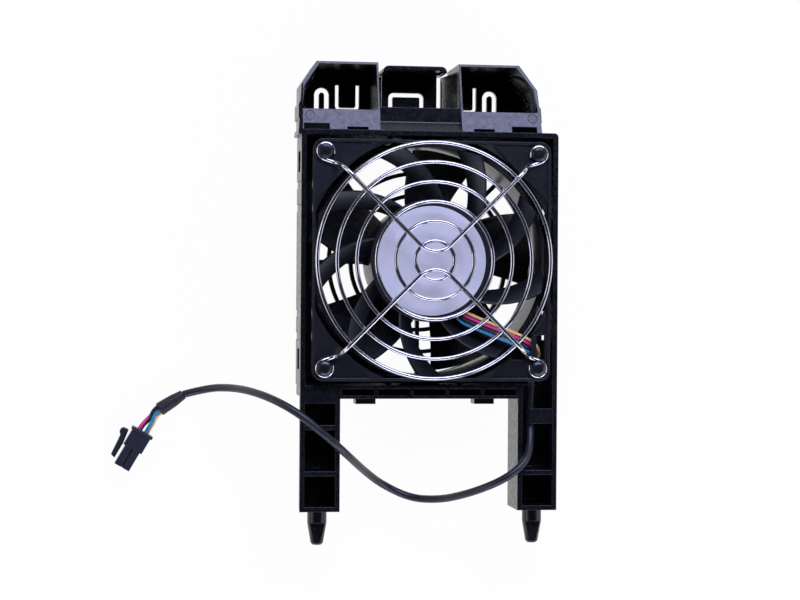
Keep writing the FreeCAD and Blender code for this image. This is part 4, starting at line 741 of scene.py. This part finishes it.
def build_plug_shell(plug):
    """The plug's housing with a groove along its nose, and a collar round its back."""
    nose_end = PLUG_BODY + PLUG_NOSE + CUT_MARGIN
    outline = rectangle(PLUG_BODY, nose_end, -NOSE_GROOVE_WIDTH / 2, NOSE_GROOVE_WIDTH / 2)
    groove = moved(prism(outline, NOSE_HALF - NOSE_GROOVE_DEPTH, NOSE_HALF + CUT_MARGIN), plug)
    collar = []
    for low_y, high_y, low_z, high_z in COLLAR_SIDES.values():
        bar = prism(rectangle(*COLLAR, low_y, high_y), low_z, high_z, COLLAR_EDGE)
        collar.append(moved(bar, plug))
    return recut("plug_shell", "plug_housing", [groove], collar, "plug")


def build_plug_end(end):
    """What the cable ends in: shrink tube, four fanned leads, and the plug with its latch lever."""
    along = -Vector((math.cos(SHRINK_ANGLE), math.sin(SHRINK_ANGLE), 0.0))
    slope = along + Vector((0.0, 0.0, SHRINK_LIFT))
    mouth = end + slope * SHRINK_PROFILE[-1][0] * MM
    plug = plug_frame(end)
    pieces = [build_shrink(end, slope)] + build_plug_leads(mouth, along, plug)
    return pieces + [build_latch(plug), build_plug_shell(plug), nodes["plug_contacts"]]


def build_cable():
    """The sleeve as one smooth spline through the CAD route's points, with what is on its end."""
    route = [Vector(spot) + FAN_CORNER for spot in CABLE_ROUTE]
    strand = round_strand("cable_line", route, CABLE_DIAMETER / 2, sides=6, steps=16)
    cable = add_piece("cable_line", strand, "sleeve")
    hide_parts("cable_sleeve")
    on_cable = build_plug_end(route[-1])


def build_floor():
    """A plain white floor: white to the camera, with a soft shadow under the module."""
    mesh = bpy.data.meshes.new("floor")
    corners = rectangle(-FLOOR_HALF, FLOOR_HALF, -FLOOR_HALF, FLOOR_HALF)
    mesh.from_pydata([(x, y, FLOOR_LEVEL) for x, y in corners], [], [(0, 1, 2, 3)])
    floor = bpy.data.objects.new("floor", mesh)
    bpy.context.scene.collection.objects.link(floor)
    n = Nodes("white_floor")
    n.set(Base_Color=FLOOR_TONE, Roughness=FLOOR_ROUGHNESS)
    glow = n.add("ShaderNodeEmission")
    glow.inputs["Color"].default_value = WHITE
    path = n.add("ShaderNodeLightPath").outputs
    seen = n.larger(n.larger(path["Is Camera Ray"], path["Is Glossy Ray"]), path["Is Transmission Ray"])
    mixed = n.add("ShaderNodeMixShader")
    n.link(n.range(seen, 0.0, FLOOR_GLOW), mixed.inputs[0])
    n.link(n.shader.outputs[0], mixed.inputs[1])
    n.link(glow.outputs[0], mixed.inputs[2])
    n.link(mixed.outputs[0], n.output.inputs["Surface"])
    mesh.materials.append(n.material)


def build_lamps():
    """Soft boxes low round the module, all turned towards it."""
    for name, (place, size, power, tint) in LAMPS.items():
        data = bpy.data.lights.new(name, "AREA")
        data.shape = "RECTANGLE"
        data.size, data.size_y = size
        data.energy = power
        data.color = tint
        lamp = bpy.data.objects.new(name, data)
        lamp.location = place
        lamp.rotation_euler = (LAMP_AIM - Vector(place)).to_track_quat("-Z", "Y").to_euler()
        bpy.context.scene.collection.objects.link(lamp)


def build_surround():
    """A dark ceiling over a pale horizon, white where the camera sees it directly."""
    world = bpy.data.worlds.new("studio")
    bpy.context.scene.world = world
    world.use_nodes = True
    tree = world.node_tree
    place = tree.nodes.new("ShaderNodeTexCoord")
    split = tree.nodes.new("ShaderNodeSeparateXYZ")
    sky = tree.nodes.new("ShaderNodeValToRGB")
    for element, (at, colour) in zip(sky.color_ramp.elements, SURROUND):
        element.position = at
        element.color = (*colour, 1.0)
    path = tree.nodes.new("ShaderNodeLightPath")
    seen = tree.nodes.new("ShaderNodeMix")
    seen.data_type = "RGBA"
    seen.inputs[MIX_SECOND].default_value = WHITE
    tree.links.new(place.outputs["Generated"], split.inputs[0])
    tree.links.new(split.outputs["Z"], sky.inputs["Fac"])
    tree.links.new(path.outputs["Is Camera Ray"], seen.inputs[MIX_SHARE])
    tree.links.new(sky.outputs["Color"], seen.inputs[MIX_FIRST])
    tree.links.new(seen.outputs[MIX_RESULT], tree.nodes["Background"].inputs["Color"])


def build_camera():
    """The photograph's own camera."""
    data = bpy.data.cameras.new("camera")
    data.lens = CAMERA_LENS
    data.sensor_width = CAMERA_SENSOR
    data.clip_end = CAMERA_REACH
    camera = bpy.data.objects.new("camera", data)
    turn = (Matrix.Rotation(CAMERA_ROLL, 3, "Z") @ Matrix.Rotation(CAMERA_PITCH, 3, "X")
            @ Matrix.Rotation(CAMERA_YAW, 3, "Y"))
    camera.matrix_world = Matrix.Translation(CAMERA_PLACE) @ turn.transposed().to_4x4()
    bpy.context.scene.collection.objects.link(camera)
    bpy.context.scene.camera = camera


dress_nodes()
build_cup_details(build_carrier())
build_tab_cap()
build_cable()
build_floor()
build_lamps()
build_surround()
build_camera()
bpy.context.scene.view_settings.view_transform = "Standard"
